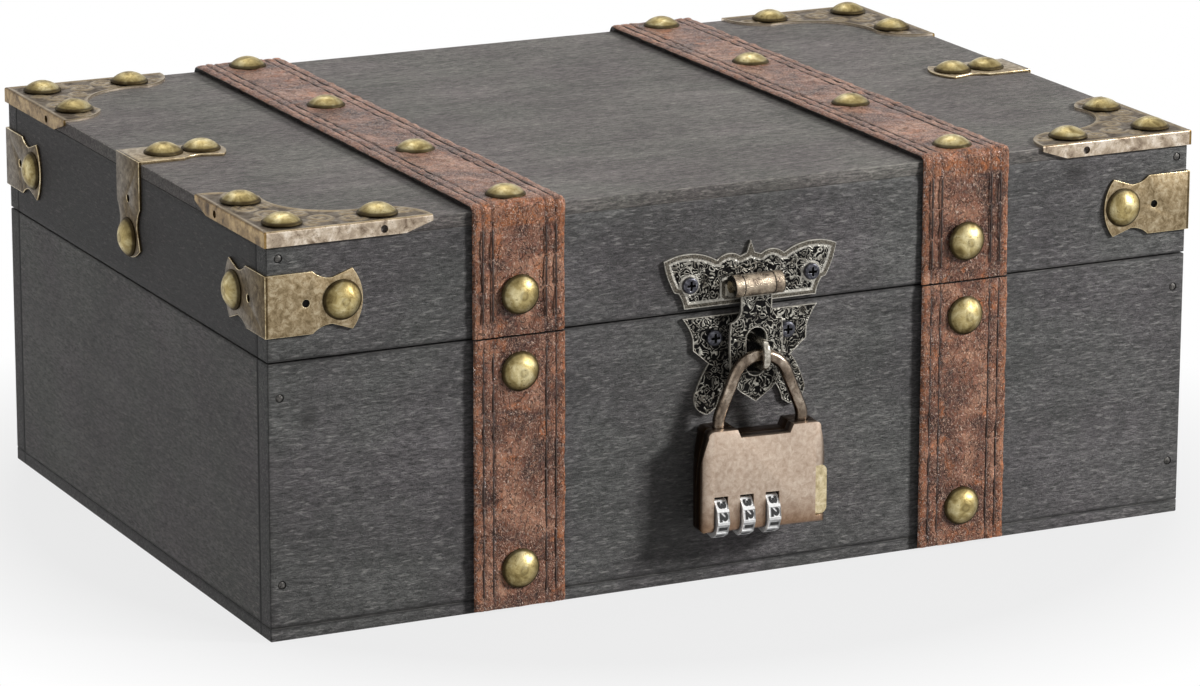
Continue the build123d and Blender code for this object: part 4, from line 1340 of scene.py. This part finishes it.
def dial_ring():
    """A ten-sided wheel along the X axis with sunk flats, grooves beside the bars and a bore."""
    deselect()
    bpy.ops.mesh.primitive_cylinder_add(
        vertices=10, radius=dial_reach, depth=dial_width, rotation=(0, math.pi / 2, 0)
    )
    piece = settle(bpy.context.object, "dial_pattern")
    choose(piece, "EDGE", lambda edge: abs((edge.verts[0].co - edge.verts[1].co).normalized().x) > roughly)
    bpy.ops.mesh.bevel(offset=dial_bar, segments=1, affect="EDGES")
    close()
    choose(piece, "FACE", lambda face: abs(face.normal.x) < 0.1 and face.calc_area() > flat_area)
    bpy.ops.mesh.inset(thickness=groove_width, depth=-groove_sink, use_individual=True)
    bpy.ops.mesh.inset(thickness=flat_lip, depth=flat_rise, use_individual=True)
    close()
    choose(piece, "FACE", lambda face: abs(face.normal.x) > roughly)
    bpy.ops.mesh.inset(thickness=hub_rim, use_individual=True)
    bpy.ops.mesh.inset(thickness=hub_slope, depth=-hub_sink, use_individual=True)
    close()
    coat(piece, dial_plastic())
    smooth(piece, 20)
    return piece


def dial_number(number):
    """One number as a thin raised mesh, to be laid on its side on a flat."""
    deselect()
    bpy.ops.object.text_add()
    text = bpy.context.object
    text.data.body = str(number)
    text.data.size = number_size
    text.data.extrude = number_thick
    text.data.offset = number_weight
    text.data.align_x = "CENTER"
    text.data.align_y = "CENTER"
    text.data.resolution_u = 4
    bpy.ops.object.convert(target="MESH")
    return bpy.context.object


ring = dial_ring()
ink = dial_ink()
flat_reach = dial_reach * math.cos(dial_step / 2)
side_turn = Matrix.Rotation(padlock_turn, 4, "Z")
slide = Matrix.Translation((0, number_lift - flat_reach, 0))
stand = Matrix.Rotation(math.pi / 2, 4, "X") @ Matrix.Rotation(-math.pi / 2, 4, "Z")
stretch = Matrix.Diagonal((*number_stretch, 1, 1))
for body, node in (("dial_one", "dial_1"), ("dial_two", "dial_2"), ("dial_three", "dial_3")):
    low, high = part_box(node)
    placed = Matrix.Translation((low + high) / 2) @ side_turn
    wheel = twin_of(ring, node + "_wheel", placed @ Matrix.Rotation(-dial_turn, 4, "X"))
    carry(wheel, body, "dial_white", node)
    numbers = []
    for number in range(10):
        text = dial_number(number)
        lift = Matrix.Rotation(-dial_turn - dial_step / 2 - dial_step * (number - 3), 4, "X")
        text.data.transform(placed @ lift @ slide @ stand @ stretch)
        numbers.append(text)
    figures = join(numbers, node + "_numbers")
    coat(figures, ink)
    carry(figures, body, "dial_white")
bpy.data.objects.remove(ring)


# Back hinges
# Two small butt hinges of brass sheet rolled round a steel pin, screwed to the back of the body
# and of the lid.
hinge_edge = 0.00012
hinge_brass = antique_brass(
    "hinge_brass", (90, 70, 42), (150, 124, 80), (200, 178, 132), (0.26, 0.42), 0.003, 0.0006
)
for end in ("left", "right"):
    bright_edged(f"hinge_body_leaf_{end}", hinge_brass, bright_brass, "hinge_brass", "base", hinge_edge)
    bright_edged(f"hinge_lid_leaf_{end}", hinge_brass, bright_brass, "hinge_brass", "lid", hinge_edge)
recoat("hinge_body_screws", hinge_brass)
recoat("hinge_lid_screws", hinge_brass)
recoat("hinge_pins", inner_steel)


# Floor, lights and camera
# The chest stands on a plain pale table under soft studio lamps, brighter from the right, and is
# seen from its front left corner, a little above.
def looked_at(beside):
    """1 for rays that come from the camera, straight or by way of a mirror or clear piece."""
    path = add(beside, "LightPath")
    seen = worked("MAXIMUM", path.outputs["Is Camera Ray"], path.outputs["Is Glossy Ray"])
    return worked("MAXIMUM", seen, path.outputs["Is Transmission Ray"])


def pale_floor():
    """Pale where the chest's shadow falls on it, and plain white further off."""
    finish, shader, place = new_finish("pale_floor")
    fill(shader, {"Base Color": shade(128, 128, 130), "Roughness": 0.6, "Specular IOR Level": 0.2})
    white = add(place, "Emission", {"Color": (1, 1, 1, 1), "Strength": 1.0})
    apart = add(place, "VectorMath", {0: place}, operation="LENGTH").outputs["Value"]
    share = times(looked_at(place), fading(apart, 0.17, 0.24, 0.80, 1.0))
    mix = add(place, "MixShader", {"Fac": share, 1: shader.outputs[0], 2: white.outputs[0]})
    out = next(node for node in finish.node_tree.nodes if node.type == "OUTPUT_MATERIAL")
    fill(out, {"Surface": mix.outputs[0]})
    return finish


deselect()
bpy.ops.mesh.primitive_plane_add(size=6, location=(0, 0, -0.0001))
floor = settle(bpy.context.object, "floor")
coat(floor, pale_floor())

world = bpy.data.worlds.new("studio")
world.use_nodes = True
tree = world.node_tree
tree.nodes.clear()
white = add(tree, "Background", {"Color": (1, 1, 1, 1), "Strength": 1.0})
soft = add(tree, "Background", {"Color": (1, 1, 1, 1), "Strength": 0.06})
mix = add(tree, "MixShader", {"Fac": looked_at(tree), 1: soft.outputs[0], 2: white.outputs[0]})
add(tree, "OutputWorld", {"Surface": mix.outputs[0]})
bpy.context.scene.world = world


def lamp(name, place, size, power):
    """A square soft lamp that faces the chest."""
    deselect()
    bpy.ops.object.light_add(type="AREA", location=place)
    made = bpy.context.object
    made.name = name
    made.data.shape = "SQUARE"
    made.data.size = size
    made.data.energy = power
    made.rotation_euler = (Vector((0, 0, 0.05)) - Vector(place)).to_track_quat("-Z", "Y").to_euler()


lamp("key_lamp", (1.6, -1.15, 1.0), 0.35, 62)
lamp("fill_lamp", (-1.5, -1.1, 0.8), 1.2, 2.4)
lamp("top_lamp", (0.1, 0.5, 1.7), 1.2, 10.5)

look_azimuth = math.radians(-26.086)
look_down = math.radians(15.042)
roll = math.radians(0.164)
turn = Euler((math.pi / 2 - look_down, 0, look_azimuth)).to_matrix() @ Matrix.Rotation(roll, 3, "Z")
deselect()
bpy.ops.object.camera_add(location=(-0.69432, -1.42619, 0.47027), rotation=turn.to_euler())
camera = bpy.context.object
camera.data.sensor_width = 36
camera.data.lens = 165.02
camera.data.clip_start = 0.05
camera.data.clip_end = 20
bpy.context.scene.camera = camera
bpy.context.scene.view_settings.view_transform = "Standard"
